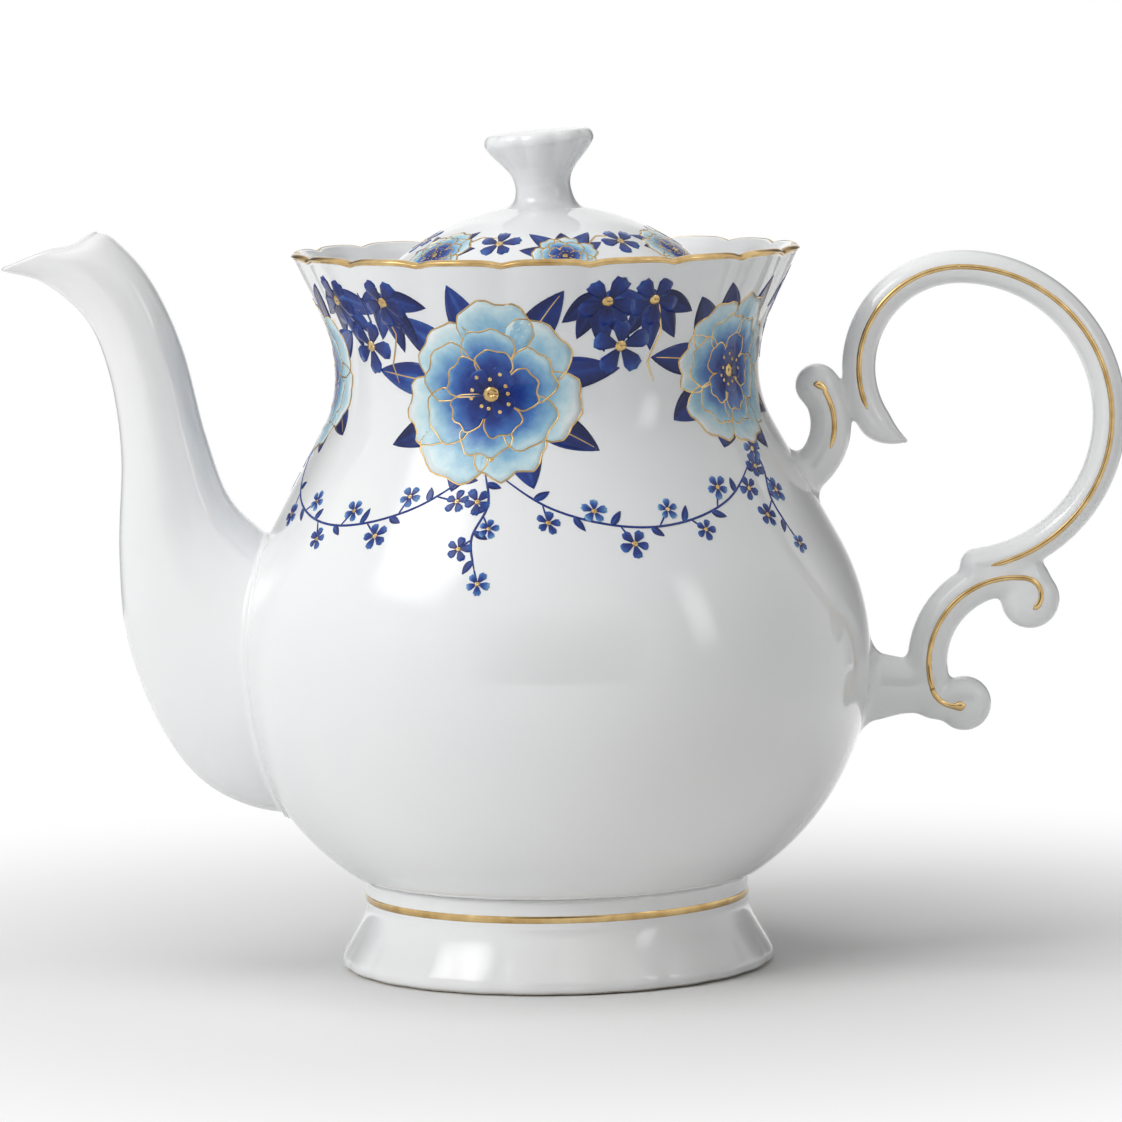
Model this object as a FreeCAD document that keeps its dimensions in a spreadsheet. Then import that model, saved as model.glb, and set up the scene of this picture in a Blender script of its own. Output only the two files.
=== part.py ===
import FreeCAD, Part
import Sketcher
import math
import os
import re
from FreeCAD import Placement, Rotation, Vector

# Porcelain teapot with a scalloped collar, a swan-neck spout, a scrolled
# handle and a lift-off lid. Z is up from the foot's resting ring, the spout
# points to -X and the handle to +X. All sizes are millimetres and degrees.

doc = FreeCAD.newDocument("porcelain_teapot")

SIZES = {
    # vessel, from the foot up
    "waist_radius": 45.0, "waist_height": 20.5,
    "belly_radius": 71.4, "belly_rise": 48.5,
    "shoulder_roundness": 0.75,
    "neck_radius": 47.3, "neck_rise": 64.5, "neck_fillet": 25.0,
    "vessel_wall": 3.2, "floor_thickness": 4.0,
    # collar and gallery
    "flare_radius": 31.0, "rim_radius": 57.2, "rim_rise": 27.5,
    "rim_wall": 2.4, "rim_lobes": 18, "rim_lobe_depth": 1.0, "rim_notch_depth": 0.8,
    "rim_notch_radius": 5.0,
    "ledge_rise": 9.5, "ledge_lip": 4.0, "ledge_width": 7.0,
    # pedestal foot
    "foot_neck_radius": 43.1, "foot_neck_height": 13.5,
    "foot_radius": 48.7, "foot_edge_height": 2.6, "foot_chamfer": 1.5,
    "foot_lobes": 24, "foot_lobe_depth": 0.5,
    "foot_hollow_radius": 42.6, "foot_hollow_top_radius": 39.0,
    # strainer behind the spout
    "strainer_hole": 5.0, "strainer_spacing": 8.5, "strainer_drop": 1.0,
    # spout walls
    "spout_wall": 2.8, "spout_lip_wall": 1.4,
    # lid
    "lid_clearance": 0.45, "lid_edge": 1.8, "lid_rise": 27.6, "lid_wall": 3.2,
    "skirt_clearance": 0.7, "skirt_wall": 3.0, "skirt_depth": 12.0,
    "vent_hole": 4.0, "vent_offset": 24.0,
    # knob
    "knob_base_radius": 8.2, "knob_stem_radius": 6.2, "knob_radius": 12.4,
    "knob_height": 16.4, "knob_lobes": 10, "knob_lobe_depth": 0.5, "knob_lean": 4.0,
    # scrolled handle: loop, upper bracket, lower bracket
    "handle_depth": 9.2, "loop_width": 7.4,
    "loop_reach": 20.6, "loop_rise": 86.0,
    "loop_front_radius": 22.4, "loop_back_radius": 33.6,
    "spur_start": 214.0, "spur_end": 233.0, "spur_bend": 1.5, "tail_angle": -84.0,
    "upper_width": 9.2, "upper_radius": 13.8, "upper_curl": 4.5,
    "upper_joint_angle": 196.0, "upper_joint_depth": 0.6,
    "upper_root_angle": -80.0, "upper_end_angle": 38.0, "upper_root_length": 14.0,
    "lower_width": 9.0, "lower_radius": 19.4,
    "lower_joint_angle": -78.2, "lower_joint_depth": 4.6,
    "lower_top_angle": 80.0, "lower_end_angle": 205.0,
    "volute_top": 6.6, "volute_foot": 6.1, "volute_edge": 2.4, "volute_offset": 4.8,
    "volute_top_angle": 75.0, "volute_foot_angle": 219.0,
    "stub_drop": 5.0, "stub_joint_angle": 195.0, "stub_width": 13.0, "stub_root_width": 17.0,
    # gilding
    "gilding": 0.2, "gilding_gap": 0.02, "rim_band": 1.6, "foot_band": 1.6, "foot_band_height": 16.0,
    "line_width": 1.4, "line_rise": 0.35, "line_top_hook": 3.8, "line_foot_hook": 5.6,
}

# Spout sections from the root inside the vessel out to the mouth: reach beyond the belly's
# widest line and rise above it, tilt of the long axis above +X, half length and half depth.
SPOUT = {
    "root": (-17.4, -1.4, 90.0, 33.4, 25.0),
    "shoe": (-6.8, -2.1, 82.5, 30.6, 23.6),
    "heel": (0.9, 2.0, 72.0, 28.2, 20.6),
    "breast": (10.0, 17.6, 48.7, 20.2, 14.8),
    "throat": (13.3, 31.4, 31.3, 14.2, 11.2),
    "neck": (14.9, 49.2, 13.0, 9.8, 9.0),
    "bend": (18.6, 68.9, 19.5, 8.7, 8.2),
    "crook": (25.2, 83.5, 33.0, 8.5, 7.8),
    "lip": (32.7, 90.2, 34.3, 9.6, 7.2),
    "mouth": (39.3, 93.1, 20.7, 11.6, 6.0),
}
STATION = ("reach", "rise", "tilt", "half_length", "half_depth")
for station, values in SPOUT.items():
    for name, value in zip(STATION, values):
        SIZES[f"spout_{station}_{name}"] = value

# Heights and radii that follow from the sizes above; the shoulder's arc is a part of the
# largest arc that fits between the belly and the neck, and the lid fits the collar at the ledge
DERIVED = {
    "belly_height": "(waist_height + belly_rise)",
    "neck_height": "(waist_height + belly_rise + neck_rise)",
    "rim_height": "(waist_height + belly_rise + neck_rise + rim_rise)",
    "ledge_height": "(waist_height + belly_rise + neck_rise + ledge_rise)",
    "shoulder_radius": "(shoulder_roundness * ((neck_radius + neck_fillet - belly_radius)^2"
                       " + neck_rise^2 - neck_fillet^2) / (2 * (belly_radius - neck_radius)))",
    "skirt_radius": "(ledge_radius - skirt_clearance)",
    "ledge_radius": "(lid_radius - ledge_width)",
    "dome_arc": "((lid_radius^2 + (lid_rise - lid_edge)^2) / (2 * (lid_rise - lid_edge)))",
    "lid_radius": "(neck_radius + flare_radius - sqrt(flare_radius^2 - ledge_rise^2) - vessel_wall"
                  " - rim_lobe_depth * (ledge_rise / rim_rise)^2 - lid_clearance)",
    "low_arc": "(((belly_radius - waist_radius)^2 + belly_rise^2) / (2 * (belly_radius - waist_radius)))",
}

sheet = doc.addObject("Spreadsheet::Sheet", "sizes")
for row, (alias, value) in enumerate(SIZES.items(), start=1):
    sheet.set(f"A{row}", alias)
    sheet.set(f"B{row}", str(value))
    sheet.setAlias(f"B{row}", alias)
doc.recompute()


def cells(expression):
    # writes an expression of size names as one that reads the sheet
    for name, meaning in DERIVED.items():
        expression = re.sub(rf"\b{name}\b", meaning, expression)
    words = sorted(SIZES, key=len, reverse=True)
    return re.sub(r"\b(" + "|".join(words) + r")\b", r"sizes.\1", expression)


def number(expression):
    # value of an expression of size names
    return float(sheet.evalExpression(cells(expression)))


def size(name):
    # value of one size
    return number(name) if name in DERIVED else float(sheet.get(name))


def feature(name, shape):
    # document object that holds a shape made by the functions below
    holder = doc.addObject("Part::Feature", name)
    holder.Shape = shape
    return holder


def cut(name, base, tool):
    result = doc.addObject("Part::Cut", name)
    result.Base = base
    result.Tool = tool
    return result


def fuse(name, pieces):
    result = doc.addObject("Part::MultiFuse", name)
    result.Shapes = pieces
    return result


def bind(item, **expressions):
    # ties properties of an object to cells of the sheet
    for path, expression in expressions.items():
        item.setExpression(path.replace("__", "."), expression)
    return item


class Profile:
    # closed half section in the XZ plane, turned about Z as one revolution

    def __init__(self, name):
        self.body = doc.addObject("PartDesign::Body", name)
        self.sketch = self.body.newObject("Sketcher::SketchObject", name + "_profile")
        plane = [item for item in self.body.Origin.OriginFeatures if item.Role == "XZ_Plane"]
        self.sketch.AttachmentSupport = [(plane[0], "")]
        self.sketch.MapMode = "FlatFace"
        self.edges = []
        self.sized = 0

    def line(self, start, end):
        segment = Part.LineSegment(Vector(*start, 0), Vector(*end, 0))
        index = self.sketch.addGeometry(segment, False)
        self.edges.append((index, 1, 2))
        return index

    def arc(self, start, end, centre):
        # shorter arc from start to end; a sketch keeps its arcs counter-clockwise
        first = math.atan2(start[1] - centre[1], start[0] - centre[0])
        last = math.atan2(end[1] - centre[1], end[0] - centre[0])
        circle = Part.Circle(Vector(*centre, 0), Vector(0, 0, 1), math.dist(start, centre))
        forward = (last - first) % (2 * math.pi) < math.pi
        span = (first, last) if forward else (last, first)
        index = self.sketch.addGeometry(Part.ArcOfCircle(circle, *span), False)
        self.edges.append((index, 1, 2) if forward else (index, 2, 1))
        return index

    def close(self, smooth=()):
        # joins each edge to the next one, without a corner after the smooth edges
        following = self.edges[1:] + self.edges[:1]
        for (edge, head, tail), (other, start, stop) in zip(self.edges, following):
            kind = "Tangent" if edge in smooth else "Coincident"
            self.sketch.addConstraint(Sketcher.Constraint(kind, edge, tail, other, start))

    def dimension(self, kind, ends, expression):
        value = float(sheet.evalExpression(expression))
        index = self.sketch.addConstraint(Sketcher.Constraint(kind, *ends, value))
        self.sized += 1
        name = f"size_{self.sized}"
        self.sketch.renameConstraint(index, name)
        self.sketch.setExpression("Constraints." + name, expression)

    def end(self, edge, which, x=None, z=None):
        # ties one end ("head", "tail" or "centre") of an edge to x and z
        index, head, tail = self.edges[edge]
        point = {"head": head, "tail": tail, "centre": 3}[which]
        for kind, axis, expression in (("DistanceX", -2, x), ("DistanceY", -1, z)):
            if expression == "0":
                self.sketch.addConstraint(Sketcher.Constraint("PointOnObject", index, point, axis))
            elif expression:
                self.dimension(kind, (-1, 1, index, point), expression)

    def revolve(self):
        turned = self.body.newObject("PartDesign::Revolution", self.body.Name + "_turned")
        turned.Profile = self.sketch
        turned.ReferenceAxis = (self.sketch, ["V_Axis"])
        turned.Angle = 360
        self.body.Tip = turned
        return self.body


def vessel_profile(name, inset):
    # belly, straight shoulder and neck, all set inward by the inset
    profile = Profile(name)
    inner = number(inset)
    low = size("low_arc") - inner
    high = size("shoulder_radius") - inner
    turn = size("neck_fillet") + inner
    low_x = size("belly_radius") - size("low_arc")
    high_x = size("belly_radius") - size("shoulder_radius")
    turn_x = size("neck_radius") + size("neck_fillet")
    middle = size("belly_height")
    top = size("neck_height")
    base = size("waist_height") + (size("floor_thickness") if inner else 0.0)
    # the shoulder line touches both arcs on opposite sides
    reach = math.hypot(turn_x - high_x, top - middle)
    slope = math.atan2(top - middle, turn_x - high_x) - math.acos((high + turn) / reach)
    waist = (low_x + math.sqrt(low ** 2 - (middle - base) ** 2), base)
    belly = (size("belly_radius") - inner, middle)
    shoulder = (high_x + high * math.cos(slope), middle + high * math.sin(slope))
    throat = (turn_x - turn * math.cos(slope), top - turn * math.sin(slope))
    profile.line((0, base), waist)
    profile.arc(waist, belly, (low_x, middle))
    profile.arc(belly, shoulder, (high_x, middle))
    profile.line(shoulder, throat)
    floor = "waist_height + floor_thickness" if inner else "waist_height"
    profile.end(0, "head", "0", cells(floor))
    profile.end(0, "tail", None, cells(floor))
    profile.end(1, "centre", cells("belly_radius - low_arc"), cells("belly_height"))
    profile.end(1, "tail", cells(f"belly_radius - {inset}"), cells("belly_height"))
    profile.end(2, "centre", cells("belly_radius - shoulder_radius"), cells("belly_height"))
    return profile, throat, (turn_x, top), turn


# Outside of the vessel up to the neck, as a full solid
outer, throat, turn_centre, turn = vessel_profile("vessel_form", "0")
neck = (size("neck_radius"), size("neck_height"))
outer.arc(throat, neck, turn_centre)
outer.line(neck, (0, neck[1]))
outer.line((0, neck[1]), (0, size("waist_height")))
outer.close(smooth=(2, 3))
outer.end(4, "centre", None, cells("neck_height"))
outer.end(4, "tail", cells("neck_radius"), cells("neck_height"))
outer.dimension("Radius", (4,), cells("neck_fillet"))
outer.end(5, "tail", "0", cells("neck_height"))
vessel_form = outer.revolve()

# Room inside the vessel up to the ledge that carries the lid
inner, throat, turn_centre, turn = vessel_profile("vessel_room", "vessel_wall")
lip = (size("ledge_radius"), size("ledge_height") - size("ledge_lip"))
top = size("ledge_height") + size("rim_wall")
inner.line(throat, lip)
inner.line(lip, (lip[0], top))
inner.line((lip[0], top), (0, top))
inner.line((0, top), (0, size("waist_height") + size("floor_thickness")))
inner.close(smooth=(2,))
inner.end(3, "tail", cells("neck_radius - vessel_wall + 0.07 * neck_fillet"),
          cells("neck_height - 0.36 * neck_fillet"))
inner.end(4, "tail", cells("ledge_radius"), cells("ledge_height - ledge_lip"))
inner.end(5, "tail", cells("ledge_radius"), cells("ledge_height + rim_wall"))
inner.end(6, "tail", "0", cells("ledge_height + rim_wall"))
vessel_room = inner.revolve()


def lobed_wire(z, radius, depth, lobes):
    # ring of outward arcs that meet in creases set inside the radius by depth
    step = 2 * math.pi / lobes
    arcs = []
    for lobe in range(int(lobes)):
        points = []
        for turn_share, reach in ((0.0, radius - depth), (0.5, radius), (1.0, radius - depth)):
            angle = (lobe + turn_share) * step
            points.append(Vector(reach * math.cos(angle), reach * math.sin(angle), z))
        arcs.append(Part.Arc(*points).toShape())
    return Part.Wire(arcs)


def lobed_loft(sections, lobes, ruled=False):
    # solid through rings given as (z, radius, crease depth)
    wires = [lobed_wire(z, radius, depth, lobes) for z, radius, depth in sections]
    return Part.makeLoft(wires, True, ruled)


def collar_radius(z):
    # outside of the collar: an arc that leaves the neck upright, then a straight flare
    bend = size("flare_radius")
    centre_x = size("neck_radius") + bend
    over = size("rim_radius") - centre_x
    up = size("rim_height") - size("neck_height")
    touch = math.atan2(up, over) + math.acos(bend / math.hypot(over, up))
    touch_x = centre_x + bend * math.cos(touch)
    touch_z = size("neck_height") + bend * math.sin(touch)
    if z <= touch_z:
        return centre_x - math.sqrt(bend ** 2 - (z - size("neck_height")) ** 2)
    slope = (size("rim_radius") - touch_x) / (size("rim_height") - touch_z)
    return touch_x + slope * (z - touch_z)


def collar_section(z, inset=0.0):
    # the creases deepen with the square of the height above the neck
    share = (z - size("neck_height")) / (size("rim_height") - size("neck_height"))
    return z, collar_radius(z) - inset, size("rim_lobe_depth") * share ** 2


def collar_heights(first, last, count):
    return [first + (last - first) * step / (count - 1) for step in range(count)]


rim_z = size("rim_height")
ledge_z = size("ledge_height")
lobes = size("rim_lobes")
ring_heights = collar_heights(size("neck_height"), rim_z, 6)
collar_rings = [collar_section(z) for z in ring_heights]
collar_form = feature("collar_form", lobed_loft(collar_rings, lobes))


def collar_wall(z):
    # the wall thins from the ledge to the rim
    share = (z - ledge_z) / (rim_z - ledge_z)
    return size("vessel_wall") + (size("rim_wall") - size("vessel_wall")) * share


room_heights = collar_heights(ledge_z, rim_z + size("rim_wall"), 5)
room_rings = [collar_section(z, collar_wall(z)) for z in room_heights]
collar_room = feature("collar_room", lobed_loft(room_rings, lobes))


def rim_notches():
    # shallow round notches across the rim at every crease
    depth = size("rim_notch_depth")
    radius = size("rim_notch_radius")
    cutters = []
    for lobe in range(int(lobes)):
        angle = 2 * math.pi * lobe / lobes
        outward = Vector(math.cos(angle), math.sin(angle), 0)
        start = outward * (size("rim_radius") - 3 * size("rim_wall"))
        start.z = rim_z - depth + radius
        cutters.append(Part.makeCylinder(radius, 6 * size("rim_wall"), start, outward))
    return Part.makeCompound(cutters)


def strainer_holes():
    # one hole in the middle and six around it, through the wall behind the spout
    radius = 0.5 * size("strainer_hole")
    spacing = size("strainer_spacing")
    places = [(0.0, 0.0)]
    for hole in range(6):
        angle = math.radians(60.0 * hole + 30.0)
        places.append((spacing * math.cos(angle), spacing * math.sin(angle)))
    holes = []
    for y, z in places:
        start = Vector(-1.1 * size("belly_radius"), y, size("belly_height") - size("strainer_drop") + z)
        holes.append(Part.makeCylinder(radius, 0.4 * size("belly_radius"), start, Vector(1, 0, 0)))
    return Part.makeCompound(holes)


pot_outside = fuse("pot_outside", [vessel_form, collar_form])
pot_inside = fuse("pot_inside", [vessel_room, collar_room])
notches = feature("rim_notches", rim_notches())
holes = feature("strainer_holes", strainer_holes())
belly_shell = cut("belly_shell", vessel_form, pot_inside)
pot_body = cut("pot_body", belly_shell, holes)
collar_shell = cut("collar_shell", collar_form, pot_inside)
pot_collar = cut("pot_collar", collar_shell, notches)
doc.recompute()

# Pedestal foot: a short neck, a lobed skirt and a chamfered resting ring, hollow beneath
foot_neck = doc.addObject("Part::Cylinder", "foot_neck")
bind(foot_neck, Radius="sizes.foot_neck_radius",
     Height="sizes.waist_height - sizes.foot_neck_height",
     Placement__Base__z="sizes.foot_neck_height")


def skirt_rings():
    # the skirt leaves the neck upright and spreads to the foot's edge
    top = size("foot_neck_height")
    drop = top - size("foot_edge_height")
    spread = size("foot_radius") - size("foot_neck_radius")
    rings = []
    for share in (0.0, 0.25, 0.5, 0.75, 1.0):
        radius = size("foot_neck_radius") + spread * (0.35 * share + 1.3 * share ** 2 - 0.65 * share ** 3)
        rings.append((top - drop * share, radius, size("foot_lobe_depth") * share))
    return rings


foot_skirt = feature("foot_skirt", lobed_loft(skirt_rings(), size("foot_lobes")))
sole_rings = [skirt_rings()[-1]]
sole_rings.append((0.0, size("foot_radius") - size("foot_chamfer"), size("foot_lobe_depth")))
foot_sole = feature("foot_sole", lobed_loft(sole_rings, size("foot_lobes"), ruled=True))
foot_hollow = doc.addObject("Part::Cone", "foot_hollow")
bind(foot_hollow, Radius1="sizes.foot_hollow_radius", Radius2="sizes.foot_hollow_top_radius",
     Height="sizes.waist_height")
foot_blank = fuse("foot_blank", [foot_neck, foot_skirt, foot_sole])
pedestal_foot = cut("pedestal_foot", foot_blank, foot_hollow)


def oval_halves(x, z, tilt, half_length, half_depth):
    # ellipse across the XZ plane: its length lies in that plane, raised by tilt above +X;
    # it is drawn as two halves that meet in that plane
    ends = [Vector(half_length, 0, 0), Vector(0, half_depth, 0)]
    first = 0.0
    if half_depth > half_length:
        ends = [Vector(0, half_depth, 0), Vector(-half_length, 0, 0)]
        first = -0.5 * math.pi
    curve = Part.Ellipse(*ends, Vector(0, 0, 0))
    halves = []
    for start in (first, first + math.pi):
        half = Part.ArcOfEllipse(curve, start, start + math.pi).toShape()
        half.Placement = Placement(Vector(x, 0, z), Rotation(Vector(0, -1, 0), tilt))
        halves.append(Part.Wire(half))
    return halves


def oval_wire(*place):
    return Part.Wire([half.Edges[0] for half in oval_halves(*place)])


def skin(ovals):
    # solid through a row of ovals: a loft on either side of the XZ plane and two end faces
    rows = [oval_halves(*oval) for oval in ovals]
    faces = []
    for side in (0, 1):
        faces += Part.makeLoft([row[side] for row in rows], False, False).Faces
    for row in (rows[0], rows[-1]):
        faces.append(Part.Face(Part.Wire([half.Edges[0] for half in row])))
    shell = Part.makeShell(faces)
    shell.sewShape()
    solid = Part.makeSolid(shell)
    if solid.Volume < 0:
        solid.reverse()
    return solid


def spout_ovals(inset, lip_inset):
    # the sections of the spout, all smaller by the inset and the last by the lip's inset
    ovals = []
    for station in SPOUT:
        reach, rise, tilt, length, depth = (size(f"spout_{station}_{name}") for name in STATION)
        less = lip_inset if station == "mouth" else inset
        ovals.append((-size("belly_radius") - reach, size("belly_height") + rise, tilt,
                      length - less, depth - less))
    return ovals


spout_form = feature("spout_form", skin(spout_ovals(0.0, 0.0)))
bore_ovals = spout_ovals(size("spout_wall"), size("spout_lip_wall"))
mouth_x, mouth_z, mouth_tilt, mouth_length, mouth_depth = bore_ovals[-1]
ahead = math.radians(mouth_tilt + 90.0)
past = size("spout_lip_wall")
bore_ovals.append((mouth_x + past * math.cos(ahead), mouth_z + past * math.sin(ahead),
                   mouth_tilt, mouth_length, mouth_depth))
spout_bore = feature("spout_bore", skin(bore_ovals))
spout_pipe = cut("spout_pipe", spout_form, spout_bore)
spout_whole = cut("spout_whole", spout_pipe, pot_outside)


def beyond(station):
    # all the room ahead of one section of the spout, as a box that stands on it
    x, z, tilt, length, depth = spout_ovals(0.0, 0.0)[list(SPOUT).index(station)]
    side = 4 * size("belly_radius")
    room = Part.makeBox(side, side, side, Vector(-0.5 * side, -0.5 * side, 0))
    room.Placement = Placement(Vector(x, 0, z), Rotation(Vector(0, -1, 0), tilt)).multiply(room.Placement)
    return room


# The spout is made in two lengths that meet at its throat
neck_room = feature("neck_room", beyond("throat"))
spout = cut("spout", spout_whole, neck_room)
spout_neck = doc.addObject("Part::Common", "spout_neck")
spout_neck.Base = spout_whole
spout_neck.Tool = neck_room


def polar(centre, radius, degrees):
    # point on a circle in the XZ plane
    angle = math.radians(degrees)
    return Vector(centre[0] + radius * math.cos(angle), 0, centre[1] + radius * math.sin(angle))


def arc_edge(centre, radius, first, last):
    places = [polar(centre, radius, degrees) for degrees in (first, 0.5 * (first + last), last)]
    return Part.Arc(*places).toShape()


def limb(edges, start, tilt, half_width, half_depth):
    # even oval carried along a path of arcs; tilt is the radius direction at the start
    section = oval_wire(start.x, start.z, tilt, half_width, half_depth)
    return Part.Wire(edges).makePipeShell([section], True, False)


def volute(name, centre, radius):
    # round end of a scroll, with softened edges
    depth = size("handle_depth")
    disc = Part.makeCylinder(radius, depth, Vector(centre[0], -0.5 * depth, centre[1]), Vector(0, 1, 0))
    rims = [edge for edge in disc.Edges if isinstance(edge.Curve, Part.Circle)]
    return feature(name, disc.makeFillet(min(size("volute_edge"), 0.4 * radius), rims))


half_depth = 0.5 * size("handle_depth")
loop_x = size("belly_radius") + size("loop_reach")
loop_top = size("belly_height") + size("loop_rise")
front = (loop_x, loop_top - size("loop_front_radius"))
back = (loop_x, loop_top - size("loop_back_radius"))


def bracket(bend, loop_radius, name):
    # centre of a bracket's arc: its limb runs into the loop's limb by the depth of the joint
    apart = loop_radius + size(f"{name}_radius") + 0.5 * (size("loop_width") + size(f"{name}_width"))
    place = polar(bend, apart - size(f"{name}_joint_depth"), size(f"{name}_joint_angle"))
    return place.x, place.z


upper = bracket(front, size("loop_front_radius"), "upper")
lower = bracket(back, size("loop_back_radius"), "lower")


def loop_path(first, last):
    # the loop: a tight front arc and a wide back arc that share their top
    return [arc_edge(front, size("loop_front_radius"), first, 90.0),
            arc_edge(back, size("loop_back_radius"), 90.0, last)]


spur_start = size("spur_start")
spur_end = size("spur_end")
tail = size("tail_angle")
loop_limb = feature("loop_limb", limb(
    loop_path(spur_start, tail), polar(front, size("loop_front_radius"), spur_start),
    spur_start, 0.5 * size("loop_width"), half_depth))


def spur_ovals():
    # the front end of the loop runs out to a blunt point
    ovals = []
    for share, scale in ((0.0, 1.0), (0.35, 0.86), (0.7, 0.55), (1.0, 0.2)):
        degrees = spur_start + share * (spur_end - spur_start)
        place = polar(front, size("loop_front_radius") - size("spur_bend") * share ** 2, degrees)
        ovals.append((place.x, place.z, degrees, 0.5 * scale * size("loop_width"), scale * half_depth))
    return ovals


loop_spur = feature("loop_spur", skin(spur_ovals()))
tail_end = polar(back, size("loop_back_radius"), tail)
loop_tail = volute("loop_tail", (tail_end.x, tail_end.z), 0.5 * size("loop_width"))

upper_root = size("upper_root_angle")
upper_end = size("upper_end_angle")
root_end = polar(upper, size("upper_radius"), upper_root)
root_start = polar((root_end.x, root_end.z), size("upper_root_length"), upper_root - 90.0)
upper_limb = feature("upper_limb", limb(
    [Part.LineSegment(root_start, root_end).toShape(),
     arc_edge(upper, size("upper_radius"), upper_root, upper_end)],
    root_start, upper_root, 0.5 * size("upper_width"), half_depth))
curl = polar(upper, size("upper_radius"), upper_end)
upper_curl = volute("upper_curl_end", (curl.x, curl.z), size("upper_curl"))

lower_top = size("lower_top_angle")
lower_end = size("lower_end_angle")
lower_limb = feature("lower_limb", limb(
    [arc_edge(lower, size("lower_radius"), lower_top, lower_end)],
    polar(lower, size("lower_radius"), lower_top), lower_top, 0.5 * size("lower_width"), half_depth))
volute_path = size("lower_radius") - size("volute_offset")
top_place = polar(lower, volute_path, size("volute_top_angle"))
top_volute = volute("top_volute", (top_place.x, top_place.z), size("volute_top"))
foot_place = polar(lower, volute_path, size("volute_foot_angle"))
foot_volute = volute("foot_volute", (foot_place.x, foot_place.z), size("volute_foot"))


def stub_ovals():
    # the lower root narrows from the belly to the lower bracket
    start = size("belly_radius") - 3 * size("vessel_wall")
    stop = polar(lower, size("lower_radius"), size("stub_joint_angle")).x
    ovals = []
    for share, wide in ((0.0, 1.0), (0.4, 0.9), (0.65, 0.15), (1.0, 0.0)):
        width = size("stub_width") + wide * (size("stub_root_width") - size("stub_width"))
        ovals.append((start + share * (stop - start), lower[1] - size("stub_drop"), 90.0,
                      0.5 * width, half_depth * (0.98 + 0.2 * wide)))
    return ovals


stub = feature("lower_stub", skin(stub_ovals()))
handle_blank = fuse("handle_blank", [loop_limb, loop_spur, loop_tail, upper_limb, upper_curl,
                                     lower_limb, top_volute, foot_volute, stub])
handle = cut("handle", handle_blank, pot_outside)
doc.recompute()

# Lid: a dome with a flat flange on the ledge and a deep locating skirt
dome = size("dome_arc")
dome_z = ledge_z + size("lid_rise") - dome
hollow = dome - size("lid_wall")
skirt_in = size("skirt_radius") - size("skirt_wall")
flange_z = ledge_z + size("lid_edge")
roof_z = dome_z + math.sqrt(hollow ** 2 - skirt_in ** 2)
lid = Profile("lid_form")
lid.line((skirt_in, ledge_z), (size("lid_radius"), ledge_z))
lid.line((size("lid_radius"), ledge_z), (size("lid_radius"), flange_z))
lid.arc((size("lid_radius"), flange_z), (0, dome_z + dome), (0, dome_z))
lid.line((0, dome_z + dome), (0, dome_z + hollow))
lid.arc((0, dome_z + hollow), (skirt_in, roof_z), (0, dome_z))
lid.line((skirt_in, roof_z), (skirt_in, ledge_z))
lid.close()
lid.end(0, "head", cells("skirt_radius - skirt_wall"), cells("ledge_height"))
lid.end(0, "tail", cells("lid_radius"), cells("ledge_height"))
lid.end(1, "tail", cells("lid_radius"), cells("ledge_height + lid_edge"))
lid.end(2, "tail", "0", cells("ledge_height + lid_rise"))
lid.end(2, "centre", "0", None)
lid.end(3, "tail", "0", cells("ledge_height + lid_rise - lid_wall"))
lid.end(4, "centre", "0", cells("ledge_height + lid_rise - dome_arc"))
lid.end(4, "tail", cells("skirt_radius - skirt_wall"), None)
lid_form = lid.revolve()
vent = doc.addObject("Part::Cylinder", "vent")
bind(vent, Radius="sizes.vent_hole / 2", Height="sizes.lid_rise + 2",
     Placement__Base__y="sizes.vent_offset", Placement__Base__z=cells("ledge_height"))
lid_shell = cut("lid_shell", lid_form, vent)
skirt_outside = doc.addObject("Part::Cylinder", "skirt_outside")
bind(skirt_outside, Radius=cells("skirt_radius"), Height="sizes.skirt_depth",
     Placement__Base__z=cells("ledge_height - skirt_depth"))
skirt_inside = doc.addObject("Part::Cylinder", "skirt_inside")
bind(skirt_inside, Radius=cells("skirt_radius - skirt_wall"), Height="sizes.skirt_depth",
     Placement__Base__z=cells("ledge_height - skirt_depth"))
lid_skirt = cut("lid_skirt", skirt_outside, skirt_inside)


def knob_shape():
    # trumpet stem under a lobed cap, leaning a little toward the spout
    base = ledge_z + size("lid_rise")
    tall = size("knob_height")
    stem = size("knob_stem_radius")
    spread = size("knob_radius") - stem
    depth = size("knob_lobe_depth")
    rings = [(-2.5, size("knob_base_radius") + 0.6, 0.0), (0.4, size("knob_base_radius") - 0.8, 0.0),
             (0.24 * tall, stem, 0.0), (0.42 * tall, stem + 0.07 * spread, 0.1 * depth),
             (0.62 * tall, stem + 0.5 * spread, 0.5 * depth), (0.85 * tall, stem + spread, depth)]
    cap = [rings[-1], (0.95 * tall, stem + 0.96 * spread, depth), (tall, stem + 0.78 * spread, 0.8 * depth)]
    stem_solid = lobed_loft(rings, size("knob_lobes"))
    cap_solid = lobed_loft(cap, size("knob_lobes"))
    shape = stem_solid.fuse(cap_solid)
    lean = Rotation(Vector(0, -1, 0), size("knob_lean"))
    shape.Placement = Placement(Vector(0, 0, base), lean)
    return shape


knob_blank = feature("knob_blank", knob_shape())
dome_ball = doc.addObject("Part::Sphere", "dome_ball")
bind(dome_ball, Radius=cells("dome_arc"), Placement__Base__z=cells("ledge_height + lid_rise - dome_arc"))
lid_knob = cut("lid_knob", knob_blank, dome_ball)


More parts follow.
